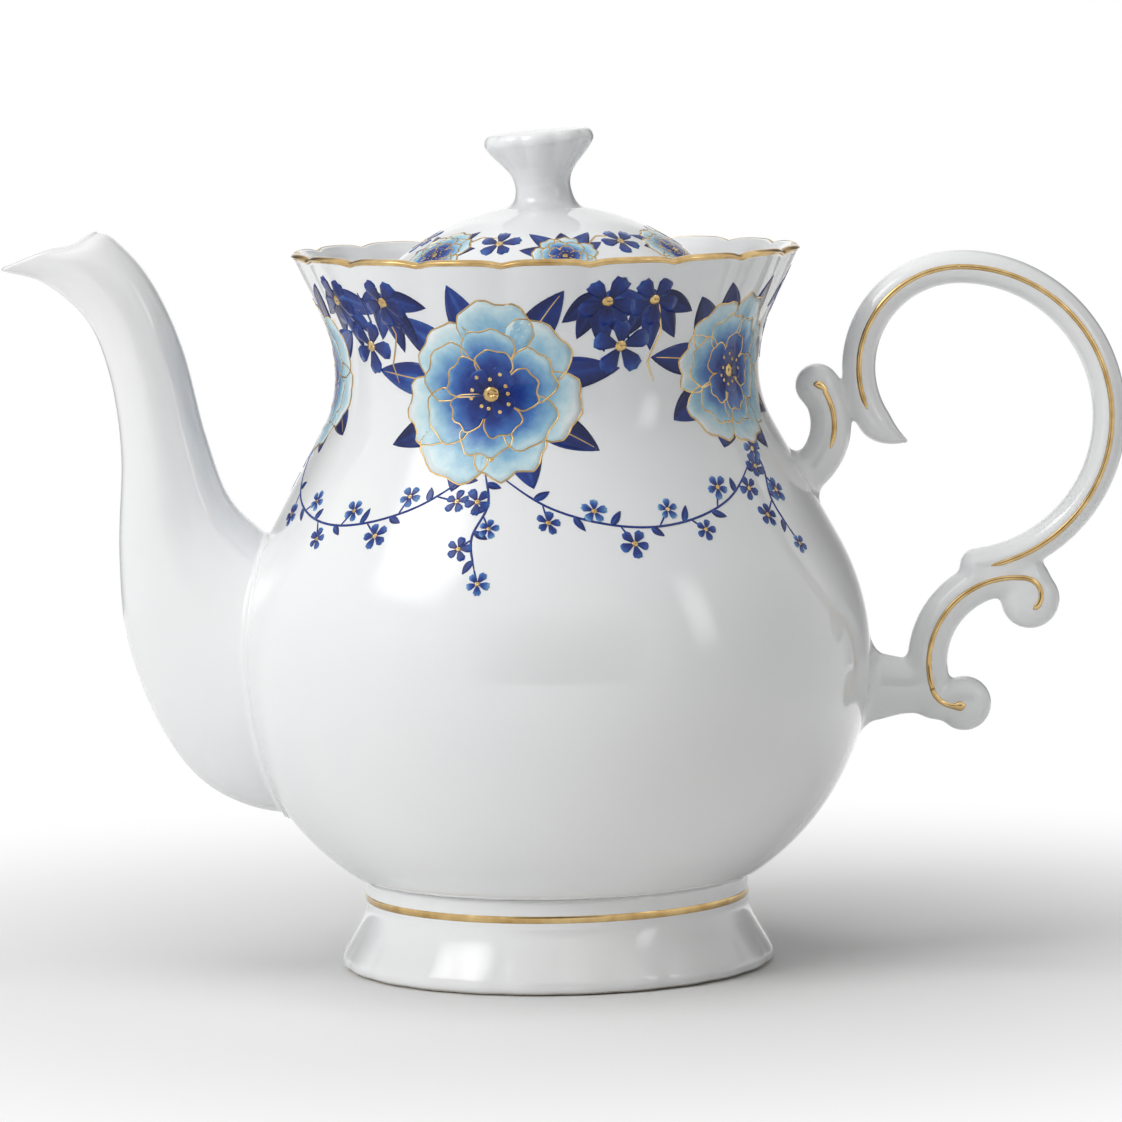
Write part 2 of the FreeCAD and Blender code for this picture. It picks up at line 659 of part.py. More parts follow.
def rim_band():
    # gilded ring around the outer edge of the rim, notched with it
    seat = size("gilding_gap")
    outside = lobed_loft([collar_section(z, -seat - size("gilding")) for z in ring_heights], lobes)
    inside = lobed_loft([collar_section(z, -seat) for z in ring_heights], lobes)
    side = 4 * size("rim_radius")
    base = Vector(-0.5 * side, -0.5 * side, rim_z - size("rim_band"))
    slab = Part.makeBox(side, side, size("rim_band"), base)
    return outside.cut(inside).common(slab).cut(rim_notches())


rim_gilding = feature("rim_gilding", rim_band())
foot_ring = doc.addObject("Part::Cylinder", "foot_ring")
bind(foot_ring, Radius="sizes.foot_neck_radius + sizes.gilding", Height="sizes.foot_band",
     Placement__Base__z="sizes.foot_band_height - sizes.foot_band / 2")
foot_gilding = cut("foot_gilding", foot_ring, foot_neck)


def gilded_line(edges, start, tilt):
    # raised lines along the same path on both sides of the handle, flat underneath
    across = Vector(math.cos(math.radians(tilt)), 0, math.sin(math.radians(tilt))) * 0.5 * size("line_width")
    lines = []
    for side in (-1, 1):
        seat = start + Vector(0, side * half_depth, 0)
        crest = seat + Vector(0, side * size("line_rise"), 0)
        section = Part.Wire([Part.Arc(seat - across, crest, seat + across).toShape(),
                             Part.LineSegment(seat + across, seat - across).toShape()])
        path = Part.Wire(edges)
        path.translate(Vector(0, side * half_depth, 0))
        lines.append(path.makePipeShell([section], True, False))
    return Part.makeCompound(lines)


def arcs_line(arcs):
    # arcs given as (centre, radius, first angle, last angle), each leading into the next
    edges = [arc_edge(*arc) for arc in arcs]
    centre, radius, first, last = arcs[0]
    return gilded_line(edges, polar(centre, radius, first), first)


def toward(centre, radius, degrees, hook):
    # centre of a smaller circle that touches a circle from inside at an angle
    place = polar(centre, radius - hook, degrees)
    return place.x, place.z


top_hook = size("line_top_hook")
foot_hook = size("line_foot_hook")
front_arc = (front, size("loop_front_radius"), 204.0, 90.0)
back_arc = (back, size("loop_back_radius"), 90.0, -78.0)
upper_arc = (upper, size("upper_radius"), -24.0, upper_end)
line_top = toward(lower, size("lower_radius"), 82.0, top_hook)
line_foot = toward(lower, size("lower_radius"), 196.0, foot_hook)
lower_arcs = [(line_top, top_hook, -58.0, 82.0), (lower, size("lower_radius"), 82.0, 196.0),
              (line_foot, foot_hook, 196.0, 286.0)]
loop_gilding = feature("loop_gilding", arcs_line([front_arc, back_arc]))
upper_gilding = feature("upper_gilding", arcs_line([upper_arc]))
lower_gilding = feature("lower_gilding", arcs_line(lower_arcs))
doc.recompute()

NODES = [pot_body, pot_collar, pedestal_foot, spout, spout_neck, handle, lid_shell, lid_skirt, lid_knob,
         rim_gilding, foot_gilding, loop_gilding, upper_gilding, lower_gilding]

for item in doc.Objects:
    faults = {"Invalid", "Error"} & set(item.State)
    if faults:
        raise RuntimeError(f"{item.Label} is not computed: {faults}")
for item in NODES:
    if item.Shape.isNull() or not item.Shape.isValid() or not item.Shape.Solids:
        raise RuntimeError(f"{item.Label} has no valid solid")

os.makedirs("parts", exist_ok=True)
for item in NODES:
    item.Label = item.Name
    item.Shape.exportStep(f"parts/{item.Label}.step")
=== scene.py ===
import math
import bpy
import numpy as np
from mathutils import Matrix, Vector
from types import SimpleNamespace


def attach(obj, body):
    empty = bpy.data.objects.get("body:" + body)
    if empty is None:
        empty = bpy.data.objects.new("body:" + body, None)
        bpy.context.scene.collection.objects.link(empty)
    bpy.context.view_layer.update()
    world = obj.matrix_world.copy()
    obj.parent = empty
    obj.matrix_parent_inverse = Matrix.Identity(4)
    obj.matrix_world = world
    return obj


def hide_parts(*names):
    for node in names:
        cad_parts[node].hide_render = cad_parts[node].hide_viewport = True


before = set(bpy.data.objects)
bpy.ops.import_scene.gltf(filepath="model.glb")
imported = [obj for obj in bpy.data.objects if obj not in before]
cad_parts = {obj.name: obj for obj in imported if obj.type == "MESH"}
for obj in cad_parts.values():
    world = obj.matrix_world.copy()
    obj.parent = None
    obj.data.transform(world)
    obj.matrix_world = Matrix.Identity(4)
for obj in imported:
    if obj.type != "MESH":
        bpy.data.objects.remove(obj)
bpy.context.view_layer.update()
scene = bpy.context.scene
mm = 0.001


def ease(x, low, high):
    # zero below low, one above high, a smooth step between
    t = np.clip((x - low) / (high - low), 0.0, 1.0)
    return t * t * (3.0 - 2.0 * t)


def beside(*axes):
    # arrays of one shape side by side along a new last axis
    return np.stack(axes, -1)


def turns(count):
    # angles evenly round a full turn
    return np.linspace(0, 2 * np.pi, count, endpoint=False)


def gridFaces(rows, cols, closed=True):
    # quads between neighbouring rows, joined round the last column when closed
    i, j = np.meshgrid(np.arange(rows - 1), np.arange(cols if closed else cols - 1), indexing="ij")
    k = (j + 1) % cols
    return beside(i * cols + j, i * cols + k, (i + 1) * cols + k, (i + 1) * cols + j).reshape(-1, 4)


def ringFaces(rows, cols):
    # quads of a closed grid whose last row also joins the first
    j = np.arange(cols)
    k = (j + 1) % cols
    last = (rows - 1) * cols
    return np.concatenate([gridFaces(rows, cols), beside(last + j, last + k, k, j)])


def addPiece(name, points, quads, body, nodes, slot, material, tints=None, triangles=None):
    # a mesh from whole arrays, in millimetres, that rides on its body and stands for its CAD nodes
    quads = np.asarray(quads).reshape(-1, 4)
    triangles = np.asarray(triangles if triangles is not None else [], int).reshape(-1, 3)
    # a closed skin whose faces look inward has a negative volume, and is turned round
    corners = points[np.concatenate([quads[:, [0, 1, 2]], quads[:, [0, 2, 3]], triangles])]
    if np.einsum("ij,ij->i", corners[:, 0], np.cross(corners[:, 1], corners[:, 2])).sum() < 0:
        quads, triangles = quads[:, ::-1], triangles[:, ::-1]
    mesh = bpy.data.meshes.new(name)
    mesh.from_pydata((points * mm).tolist(), [], quads.tolist() + triangles.tolist(), shade_flat=False)
    mesh.validate()
    if tints is not None:
        mesh.attributes.new("tint", "FLOAT", "POINT").data.foreach_set("value", tints.astype(np.float32))
    mesh.materials.append(material)
    piece = bpy.data.objects.new(name, mesh)
    scene.collection.objects.link(piece)
    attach(piece, body)
    if nodes:
        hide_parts(*nodes)
    return piece


def drill(piece, starts, along, radius, sides=28):
    # round holes: straight cylinders from each start along a direction, taken out of a finished piece
    along = np.asarray(along, float)
    across = np.array([along[1], along[2], along[0]]) / np.linalg.norm(along)
    other = np.cross(along, across) / np.linalg.norm(along)
    turn = turns(sides)[:, None]
    ring = radius * (np.cos(turn) * across + np.sin(turn) * other)
    points, faces = [], []
    for k, start in enumerate(np.asarray(starts, float)):
        first = 2 * sides * k
        points += [start + ring, start + along + ring]
        faces.append(list(range(first, first + sides))[::-1])
        faces.append(list(range(first + sides, first + 2 * sides)))
        faces += (gridFaces(2, sides) + first).tolist()
    mesh = bpy.data.meshes.new("cutter")
    mesh.from_pydata((np.concatenate(points) * mm).tolist(), [], faces)
    cutter = bpy.data.objects.new("cutter", mesh)
    scene.collection.objects.link(cutter)
    holes = piece.modifiers.new("holes", "BOOLEAN")
    holes.object, holes.operation, holes.solver = cutter, "DIFFERENCE", "EXACT"
    drilled = bpy.data.meshes.new_from_object(piece.evaluated_get(bpy.context.evaluated_depsgraph_get()))
    piece.modifiers.clear()
    plain, piece.data = piece.data, drilled
    bpy.data.objects.remove(cutter)
    bpy.data.meshes.remove(mesh)
    bpy.data.meshes.remove(plain)


def turnedPoints(profile, angles, place):
    # place(angle, r, z) for every profile point, carried round by every angle
    return np.stack(place(angles[None, :], profile[:, :1], profile[:, 1:]), -1).reshape(-1, 3)


def turnedPiece(name, profile, angles, place, *rest):
    # surface of revolution whose profile starts and ends on the axis, with a pole at either end
    inner, cols = profile[1:-1], len(angles)
    points = turnedPoints(inner, angles, place)
    poles = [turnedPoints(profile[[end]], np.zeros(1), place) for end in (0, -1)]
    first, top = len(points), (len(inner) - 1) * cols
    j = np.arange(cols)
    k = (j + 1) % cols
    low = beside(np.full(cols, first), k, j)
    high = beside(np.full(cols, first + 1), top + j, top + k)
    return addPiece(name, np.concatenate([points] + poles), gridFaces(len(inner), cols), *rest,
                    triangles=np.concatenate([low, high]))


def ringPiece(name, section, angles, place, *rest):
    # closed loop of (r, z) points carried round the axis
    points = turnedPoints(section, angles, place)
    return addPiece(name, points, ringFaces(len(section), len(angles)), *rest)


def lengthAlong(points):
    # distance of each point of a polyline from the first, measured along it
    return np.concatenate([[0], np.cumsum(np.linalg.norm(np.diff(points, axis=0), axis=1))])


def resampled(points, count):
    # the same polyline with evenly spaced points, its ends kept
    along = lengthAlong(points)
    at = np.linspace(0, along[-1], count)
    return np.stack([np.interp(at, along, axis) for axis in points.T], -1)


def spaced(points, step):
    # the same polyline with points about a step apart
    return resampled(points, max(2, int(round(lengthAlong(points)[-1] / step)) + 1))


def curveThrough(points, count):
    # smooth curve through points: cubic pieces whose tangents follow the neighbours, evenly resampled
    points = np.asarray(points, float)
    gap = np.sqrt(np.linalg.norm(np.diff(points, axis=0), axis=1))
    t = np.concatenate([[0], np.cumsum(gap)])
    slopes = np.gradient(points, t, axis=0)
    at = np.linspace(0, t[-1], 24 * len(points))
    i = np.clip(np.searchsorted(t, at, side="right") - 1, 0, len(points) - 2)
    h = (t[i + 1] - t[i])[:, None]
    u = ((at - t[i]) / (t[i + 1] - t[i]))[:, None]
    fine = ((2 * u ** 3 - 3 * u ** 2 + 1) * points[i] + (u ** 3 - 2 * u ** 2 + u) * h * slopes[i]
            + (3 * u ** 2 - 2 * u ** 3) * points[i + 1] + (u ** 3 - u ** 2) * h * slopes[i + 1])
    return resampled(fine, count)


def roundedPath(corners, arcStep=0.25, straight=1.5):
    # polyline through (r, z, fillet) corners, each rounded by an arc of its fillet unless nearly straight
    spots = [complex(r, z) for r, z, fillet in corners]
    path = spots[:1]
    for before, here, after, corner in zip(spots, spots[1:], spots[2:], corners[1:]):
        a, b = (before - here) / abs(before - here), (after - here) / abs(after - here)
        half, fillet = 0.5 * math.acos(np.clip((a * b.conjugate()).real, -1, 1)), corner[2]
        if fillet <= 0 or half > straight:
            path.append(here)
            continue
        centre = here + (a + b) / abs(a + b) * fillet / math.sin(half)
        first, last = (here + way * fillet / math.tan(half) - centre for way in (a, b))
        turn = np.angle(last / first)
        swing = np.linspace(0, turn, max(3, int(fillet * abs(turn) / arcStep) + 1))
        path += (centre + first * np.exp(1j * swing)).tolist()
    path = np.array(path + spots[-1:])
    return beside(path.real, path.imag)


# adjustable values of the vessel, millimetres
vessel = dict(
    waist=45.0, waistZ=20.5, belly=71.4, bellyZ=69.0, shoulder=55.0, neck=47.3, neckZ=133.5, neckArc=25.0,
    flareArc=31.0, rim=57.2, rimZ=161.0, wall=3.2, rimWall=2.4, hem=0.8, lipOut=0.9, lipIn=1.4, floor=4.0,
    floorRise=1.2, floorEdge=2.5, floorCorner=4.0, ledge=38.0, ledgeZ=143.0, ledgeLip=4.0, ledgeRound=1.2,
    throatOut=1.75, throatDrop=9.0, cavityDrop=10.5, lobes=18, lobeDepth=1.1, lobeFade=(20.0, 40.0),
    notch=0.75, notchReach=9.0, columns=324, strainerZ=68.0, strainerHole=5.0, strainerPitch=8.5,
    strainerX=-78.0, strainerReach=28.0)


def bodyRadius(z):
    # outside radius by height: two belly arcs, straight shoulder, neck arc, flare arc, straight flare
    v = SimpleNamespace(**vessel)
    swell = v.belly - v.waist
    low = (swell ** 2 + (v.bellyZ - v.waistZ) ** 2) / (2 * swell)
    highX, turnX = v.belly - v.shoulder, v.neck + v.neckArc
    across, rise = turnX - highX, v.neckZ - v.bellyZ
    slope = math.atan2(rise, across) - math.acos((v.shoulder + v.neckArc) / math.hypot(across, rise))
    shoulderZ = v.bellyZ + v.shoulder * math.sin(slope)
    throatZ = v.neckZ - v.neckArc * math.sin(slope)
    flareX = v.neck + v.flareArc
    over, up = v.rim - flareX, v.rimZ - v.neckZ
    touch = math.atan2(up, over) + math.acos(v.flareArc / math.hypot(over, up))
    touchX = flareX + v.flareArc * math.cos(touch)
    touchZ = v.neckZ + v.flareArc * math.sin(touch)
    root = lambda radius, centre: np.sqrt(np.maximum(radius ** 2 - (z - centre) ** 2, 0))
    parts = [v.belly - low + root(low, v.bellyZ),
             highX + root(v.shoulder, v.bellyZ),
             highX + v.shoulder * math.cos(slope) - math.tan(slope) * (z - shoulderZ),
             turnX - root(v.neckArc, v.neckZ),
             flareX - root(v.flareArc, v.neckZ),
             touchX + (v.rim - touchX) / (v.rimZ - touchZ) * (z - touchZ)]
    limits = [z < v.bellyZ, z < shoulderZ, z < throatZ, z < v.neckZ, z < touchZ, z >= touchZ]
    return np.select(limits, parts)


def bodySlope(z, step):
    # how fast the outside radius grows with height, by central differences
    return (bodyRadius(z + step) - bodyRadius(z - step)) / (2 * step)


def bodyGap(points):
    # distance outside the vessel's surface, negative inside it
    z = points[..., 2]
    return (np.hypot(points[..., 0], points[..., 1]) - bodyRadius(z)) / np.sqrt(1 + bodySlope(z, 0.1) ** 2)


def crease(angle, lobes, softness=0.15):
    # one at the creases between lobes, zero on the crests, the crease itself softened by the glaze
    across = np.abs(2 * np.mod(angle * lobes / (2 * np.pi), 1.0) - 1)
    bulge = np.sqrt((1 - across ** 2) ** 2 + softness ** 2) - softness
    return 1 - bulge / (math.sqrt(1 + softness ** 2) - softness)


def plainPlace(angle, r, z):
    # turns a profile point about Z
    return r * np.cos(angle), r * np.sin(angle), z + 0 * angle


def lobedPlace(angle, r, z):
    # turns a vessel point about Z and draws it in along the creases of the collar
    v = SimpleNamespace(**vessel)
    share = np.clip((z - v.neckZ) / (v.rimZ - v.neckZ), 0, 1.1)
    c = crease(angle, v.lobes)
    r = r - v.lobeDepth * share ** 2 * c * ease(r, *v.lobeFade)
    z = z - v.notch * c ** 2 * ease(z, v.rimZ - v.notchReach, v.rimZ)
    return plainPlace(angle, r, z)


def bodyPoint(angle, z, lift):
    # point on the glazed outside of the vessel, raised along its normal
    slope = bodySlope(z, 0.05)
    size = np.sqrt(1 + slope ** 2)
    return np.stack(lobedPlace(angle, bodyRadius(z) + lift / size, z - lift * slope / size), -1)


def lipArc(first, last, count, lift=0.0):
    # the rim's rounded lip between two angles, raised by the lift
    half = 0.5 * vessel["rimWall"]
    turn = np.radians(np.linspace(first, last, count))
    return beside(bodyRadius(np.array(vessel["rimZ"])) - half + (half + lift) * np.cos(turn),
                  vessel["rimZ"] - half + (half + lift) * np.sin(turn))


def buildVessel(material):
    # outside from the waist to the rim, lip, inside down to the ledge, gallery, cavity, floor and underside
    v = SimpleNamespace(**vessel)
    heights = np.linspace(v.waistZ + v.hem, v.rimZ - v.lipOut, 700)
    outside = spaced(beside(bodyRadius(heights), heights), 1.0)
    down = np.linspace(v.rimZ - v.lipIn, v.ledgeZ + v.ledgeRound, 14)
    thin = v.wall + (v.rimWall - v.wall) * (down - v.ledgeZ) / (v.rimZ - v.ledgeZ)
    inside = beside(bodyRadius(down) - thin, down)
    ledgeOut = inside[-1, 0]
    gallery = roundedPath([(ledgeOut, v.ledgeZ + v.ledgeRound, 0), (ledgeOut - 0.5, v.ledgeZ, 0.5),
                           (v.ledge, v.ledgeZ, 0.8),
                           (v.ledge, v.ledgeZ - v.ledgeLip, v.ledgeRound),
                           (v.neck - v.wall + v.throatOut, v.neckZ - v.throatDrop, 0)])
    floorZ = v.waistZ + v.floor
    cavityZ = np.linspace(v.neckZ - v.cavityDrop, floorZ + v.floorCorner, 46)
    cavity = beside(bodyRadius(cavityZ) - v.wall, cavityZ)
    floor = beside(np.linspace(cavity[-1, 0] - v.floorEdge, 0, 12),
                   floorZ + v.floorRise * np.linspace(1, 0, 12) ** 2)
    underside = np.array([(0.0, 0.0), (20.0, 0.0), (36.0, 0.0), (v.waist - 0.9, 0.0), (v.waist - 0.2, 0.25)])
    underside[:, 1] += v.waistZ
    profile = np.concatenate([underside, outside, lipArc(20, 160, 9), inside[:-1], gallery, cavity, floor])
    piece = turnedPiece("potBody", profile, turns(v.columns), lobedPlace,
                        "pot", ["pot_body", "pot_collar"], "porcelain", material)
    # strainer behind the spout: one hole in the middle and six around it
    ring = np.radians(30.0 + 60.0 * np.arange(6))
    offsets = np.concatenate([[(0.0, 0.0)], v.strainerPitch * beside(np.cos(ring), np.sin(ring))])
    starts = [(v.strainerX, y, v.strainerZ + z) for y, z in offsets]
    drill(piece, starts, (v.strainerReach, 0.0, 0.0), 0.5 * v.strainerHole)


# adjustable values of the pedestal foot
foot = dict(
    neck=43.1, neckZ=13.5, top=20.5, radius=48.7, edgeZ=2.6, flare=(0.35, 1.3, -0.65), lobes=24,
    lobeDepth=0.3, lobeSoft=0.3, hollow=42.6, hollowTop=39.0, columns=288)


def buildFoot(material):
    # neck, spreading skirt, rounded edge, resting ring and the hollow underneath, as one closed ring
    f = SimpleNamespace(**foot)
    share = np.linspace(0, 1, 16)
    flare = sum(part * share ** power for power, part in enumerate(f.flare, 1))
    skirt = beside(f.neck + (f.radius - f.neck) * flare,
                   f.neckZ + (f.edgeZ - f.neckZ) * share)
    edge = roundedPath([(f.radius, f.edgeZ, 0), (f.radius + 0.1, 0.9, 1.2), (f.radius - 1.4, 0, 0.9),
                        (f.hollow + 0.6, 0, 0.5), (f.hollow, 0.6, 0.5), (f.hollowTop, f.top, 0)])
    neck = beside(np.full(6, f.neck), np.linspace(f.top - 0.05, f.neckZ + 0.6, 6))

    def place(angle, r, z):
        fade = ease(f.neckZ - z, 0.0, f.neckZ - 1.0) * ease(r, f.hollow + 1.0, f.hollow + 3.0)
        return plainPlace(angle, r - f.lobeDepth * fade * crease(angle, f.lobes, f.lobeSoft), z)

    ringPiece("pedestalFoot", np.concatenate([neck, skirt, edge[1:]])[::-1], turns(f.columns), place,
              "pot", ["pedestal_foot"], "porcelain", material)


# adjustable values of the lid and its knob
lid = dict(
    radius=45.0, edge=1.8, rise=27.6, wall=3.2, skirt=37.3, skirtWall=3.0, skirtDepth=12.0, skirtRound=1.2,
    vent=4.0, ventY=24.0, columns=240)
knob = dict(
    base=7.9, stem=6.2, radius=12.5, height=16.4, lobes=10, lobeDepth=0.45, lobeSoft=0.35, lean=4.0,
    columns=160)


def domeShape():
    # centre height and radius of the dome's sphere
    drop = lid["rise"] - lid["edge"]
    radius = (lid["radius"] ** 2 + drop ** 2) / (2 * drop)
    return vessel["ledgeZ"] + lid["rise"] - radius, radius


def buildLid(material):
    # hollow dome from the inner crown down the skirt, along the flange and over the outside to the crown
    centre, radius = domeShape()
    arc = lambda r, swing: beside(r * np.sin(swing), centre + r * np.cos(swing))
    ledgeZ, outer, skirt, bend = vessel["ledgeZ"], lid["radius"], lid["skirt"], lid["skirtRound"]
    inner, roofR = skirt - lid["skirtWall"], radius - lid["wall"]
    low, edgeZ = ledgeZ - lid["skirtDepth"], ledgeZ + lid["edge"]
    roof = arc(roofR, np.linspace(0, math.asin(inner / roofR) - 0.04, 30))
    rim = roundedPath([(*roof[-1], 0), (inner, roof[-1, 1] - 2.0, 1.5), (inner, low, bend),
                       (skirt, low, bend), (skirt, ledgeZ, 0.6), (outer, ledgeZ, 0.6), (outer, edgeZ, 0.9),
                       (outer - 4.0, edgeZ + 4.9, 0)])
    dome = arc(radius, np.linspace(math.asin((outer - 4.4) / radius), 0, 52))
    profile = np.concatenate([roof, rim[1:-1], dome])
    piece = turnedPiece("lidShell", profile, turns(lid["columns"]), plainPlace,
                        "lid", ["lid_shell", "lid_skirt"], "porcelain", material)
    drill(piece, [(0.0, lid["ventY"], ledgeZ)], (0.0, 0.0, lid["rise"] + 2.0), 0.5 * lid["vent"])


def buildKnob(material):
    # trumpet with a lobed lip and a dished top, leaning toward the spout, its base faired into the dome
    centre, radius = domeShape()
    k = SimpleNamespace(**knob)
    base, stem, lip, spread = k.base, k.stem, k.radius, k.radius - k.stem
    marks = np.array([(0.0, -2.2), (base + 2.4, -2.2), (base + 1.0, -0.9), (base - 0.1, -0.1),
                      (stem + 0.75, 0.9), (stem + 0.25, 2.2), (stem, 4.2), (stem + 0.4, 6.2),
                      (stem + 0.28 * spread, 8.3), (stem + 0.56 * spread, 10.2), (stem + 0.85 * spread, 12.3),
                      (lip, 13.9), (lip - 0.05, 14.9), (lip - 0.55, 15.9), (lip - 1.4, 16.35),
                      (lip - 2.4, 16.4), (lip - 5.0, 16.1), (4.0, 15.9), (0.0, 15.85)])
    marks[2:, 1] *= k.height / marks[:, 1].max()
    profile = curveThrough(marks, 130)
    profile[0, 0] = profile[-1, 0] = 0.0
    tilt = math.radians(k.lean)

    def place(angle, r, z):
        fade = ease(z, 5.0, 13.0) * ease(r, 3.0, 9.0)
        x, y, z = plainPlace(angle, r - k.lobeDepth * fade * crease(angle, k.lobes, k.lobeSoft), z)
        lean = tilt * ease(z, -1.0, 4.0)  # the base stays level on the dome
        return x * np.cos(lean) - z * np.sin(lean), y, centre + radius + x * np.sin(lean) + z * np.cos(lean)

    turnedPiece("lidKnob", profile, turns(k.columns), place, "lid", ["lid_knob"], "porcelain", material)


# adjustable sections of the spout: centre x and z, tilt of the long axis, half length, half depth
spout = dict(
    root=(-54.0, 67.6, 90.0, 33.4, 25.0), shoe=(-64.6, 66.9, 82.5, 30.6, 23.6),
    heel=(-72.3, 71.0, 72.0, 28.2, 20.6), breast=(-81.4, 86.6, 48.7, 20.2, 14.8),
    throat=(-84.7, 100.4, 31.3, 14.2, 11.2), neck=(-86.3, 118.2, 13.0, 9.8, 9.0),
    bend=(-90.0, 137.9, 19.5, 8.7, 8.2), crook=(-96.6, 152.5, 33.0, 8.5, 7.8),
    lip=(-104.3, 159.9, 30.0, 9.35, 7.2), mouth=(-110.7, 162.1, 20.7, 11.6, 6.0))
spoutWalls = dict(
    wall=2.8, lip=0.55, thinFrom=0.8, fillet=1.3, embed=1.5, rootX=-75.0, dip=1.1, dipFrom=0.9,
    dipPlace=0.45, dipWidth=0.35, rows=260, columns=120)


def rootFlare(gap, fillet):
    # outward offset that rounds the corner where a piece meets the vessel: a quarter circle of the fillet
    inward = np.clip(fillet - gap, 0, fillet)
    return fillet - np.sqrt(np.maximum(fillet ** 2 - inward ** 2, 0))


def buildSpout(material):
    # outside from the root to the lip, round the lip, and the bore back to the root, closed into one skin
    s = SimpleNamespace(**spoutWalls)
    path = curveThrough(list(spout.values()), s.rows)
    share = np.linspace(0, 1, s.rows)
    turn = turns(s.columns)

    def ring(rows, inset, place):
        # ellipses of the path rows, smaller by the inset; the mouth dips in front of its heel
        x, z, tilt, length, depth = (rows[:, k, None] for k in range(5))
        tilt = np.radians(tilt)
        u, w = (length - inset) * np.cos(turn), (depth - inset) * np.sin(turn)
        dip = s.dip * ease(place, s.dipFrom, 1.0)[:, None]
        dip = dip * np.exp(-((np.cos(turn) - s.dipPlace) / s.dipWidth) ** 2)
        return beside(x + u * np.cos(tilt) + dip * np.sin(tilt), w + 0 * x,
                      z + u * np.sin(tilt) - dip * np.cos(tilt))

    outer = ring(path, 0.0, share)
    normal = np.cross(np.roll(outer, -1, 1) - np.roll(outer, 1, 1), np.gradient(outer, axis=0))
    normal /= np.linalg.norm(normal, axis=-1, keepdims=True)
    outer = outer + normal * rootFlare(bodyGap(outer), s.fillet)[..., None]
    wall = s.wall + (2 * s.lip - s.wall) * ease(share, s.thinFrom, 1.0)
    inner = ring(path, wall[:, None], share)[::-1]
    tilt = math.radians(path[-1, 2])
    ahead = np.array([-math.sin(tilt), 0.0, math.cos(tilt)])
    lips = [ring(path[-1:], s.lip * (1 - math.cos(t)), share[-1:]) + ahead * s.lip * math.sin(t)
            for t in np.radians([30, 60, 90, 120, 150])]
    points = np.concatenate([outer] + lips + [inner]).reshape(-1, 3)
    reach = np.hypot(points[:, 0], points[:, 1])
    seat = np.maximum(bodyRadius(points[:, 2]) - s.embed, 1.0)
    inside = (points[:, 0] > s.rootX) & (reach < seat)  # the root stops halfway into the vessel's wall
    points[inside, :2] *= (seat / reach)[inside, None]
    addPiece("swanSpout", points, ringFaces(2 * s.rows + len(lips), s.columns),
             "pot", ["spout", "spout_neck"], "porcelain", material)


# adjustable values of the scrolled handle: arcs as centre x, centre z, radius, first and last angle
handle = dict(
    halfDepth=4.7, loopHalf=3.75, upperHalf=4.6, lowerHalf=4.5, front=(92.0, 132.6, 22.4, 90.0, 233.5),
    back=(92.0, 121.4, 33.6, -84.0, 90.0), upper=(49.4, 120.5, 13.8, -80.0, 38.0),
    lower=(103.6, 66.0, 19.4, 80.0, 205.0), curl=(60.3, 129.0, 4.5), topVolute=(107.4, 80.1, 6.6),
    footVolute=(92.3, 56.8, 6.1), roundness=2.6, stubZ=61.0, stubHalf=6.3, stubRoot=8.0,
    stubFlare=(70.0, 80.0), stubEnd=86.0, spurStart=212.0, spurBend=2.0, spurTaper=0.86, spurPower=1.6,
    blend=1.6, fillet=3.0, embed=1.5, boxLow=(51.0, -8.0, 48.0), boxHigh=(131.0, 8.0, 161.0), cell=0.5)


def arcReach(x, z, arc, bend=0.0, bendStart=0.0):
    # in-plane distance from an arc and the angle of its nearest point; past bendStart the arc draws inward
    cx, cz, radius, first, last = arc
    middle, half = 0.5 * (first + last), 0.5 * (last - first)
    angle = np.degrees(np.arctan2(z - cz, x - cx))
    angle = middle + np.clip(np.mod(angle - middle + 180.0, 360.0) - 180.0, -half, half)
    near = np.radians(angle)
    if bend:
        radius = radius - bend * np.clip((angle - bendStart) / (last - bendStart), 0, 1) ** 2
    return np.hypot(x - cx - radius * np.cos(near), z - cz - radius * np.sin(near)), angle


def softUnion(a, b, blend):
    # the lesser of two fields, with a rounded seam of the blend width
    share = np.clip(0.5 + 0.5 * (b - a) / blend, 0, 1)
    return b + (a - b) * share - blend * share * (1 - share)


def handleField(x, y, z):
    # signed gap to the handle: oval limbs along arcs, round volutes and the root stub, softly joined
    h = SimpleNamespace(**handle)
    depth, power, spur = h.halfDepth, h.roundness, h.spurStart
    limb = lambda reach, half, deep: (np.sqrt((reach / half) ** 2 + (y / deep) ** 2) - 1) * half
    reach, angle = arcReach(x, z, h.front, h.spurBend, spur)
    taper = 1 - h.spurTaper * np.clip((angle - spur) / (h.front[4] - spur), 0, 1) ** h.spurPower
    field = limb(reach, h.loopHalf * taper, depth * taper)
    field = np.minimum(field, limb(arcReach(x, z, h.back)[0], h.loopHalf, depth))
    for bracket in ("upper", "lower"):
        reach = arcReach(x, z, handle[bracket])[0]
        field = softUnion(field, limb(reach, handle[bracket + "Half"], depth), h.blend)
    for cx, cz, radius in (h.curl, h.topVolute, h.footVolute):
        ball = (np.hypot(x - cx, z - cz) / radius) ** power + (np.abs(y) / depth) ** power
        field = softUnion(field, (ball ** (1 / power) - 1) * depth, h.blend)
    tall = h.stubHalf + (h.stubRoot - h.stubHalf) * (1 - ease(x, *h.stubFlare))
    stub = (np.sqrt(((z - h.stubZ) / tall) ** 2 + (y / depth) ** 2) - 1) * depth
    field = softUnion(field, np.maximum(stub, x - h.stubEnd), h.blend)
    gap = bodyGap(beside(x, y, z))
    return np.maximum(field - rootFlare(gap, h.fillet), -(gap + h.embed))


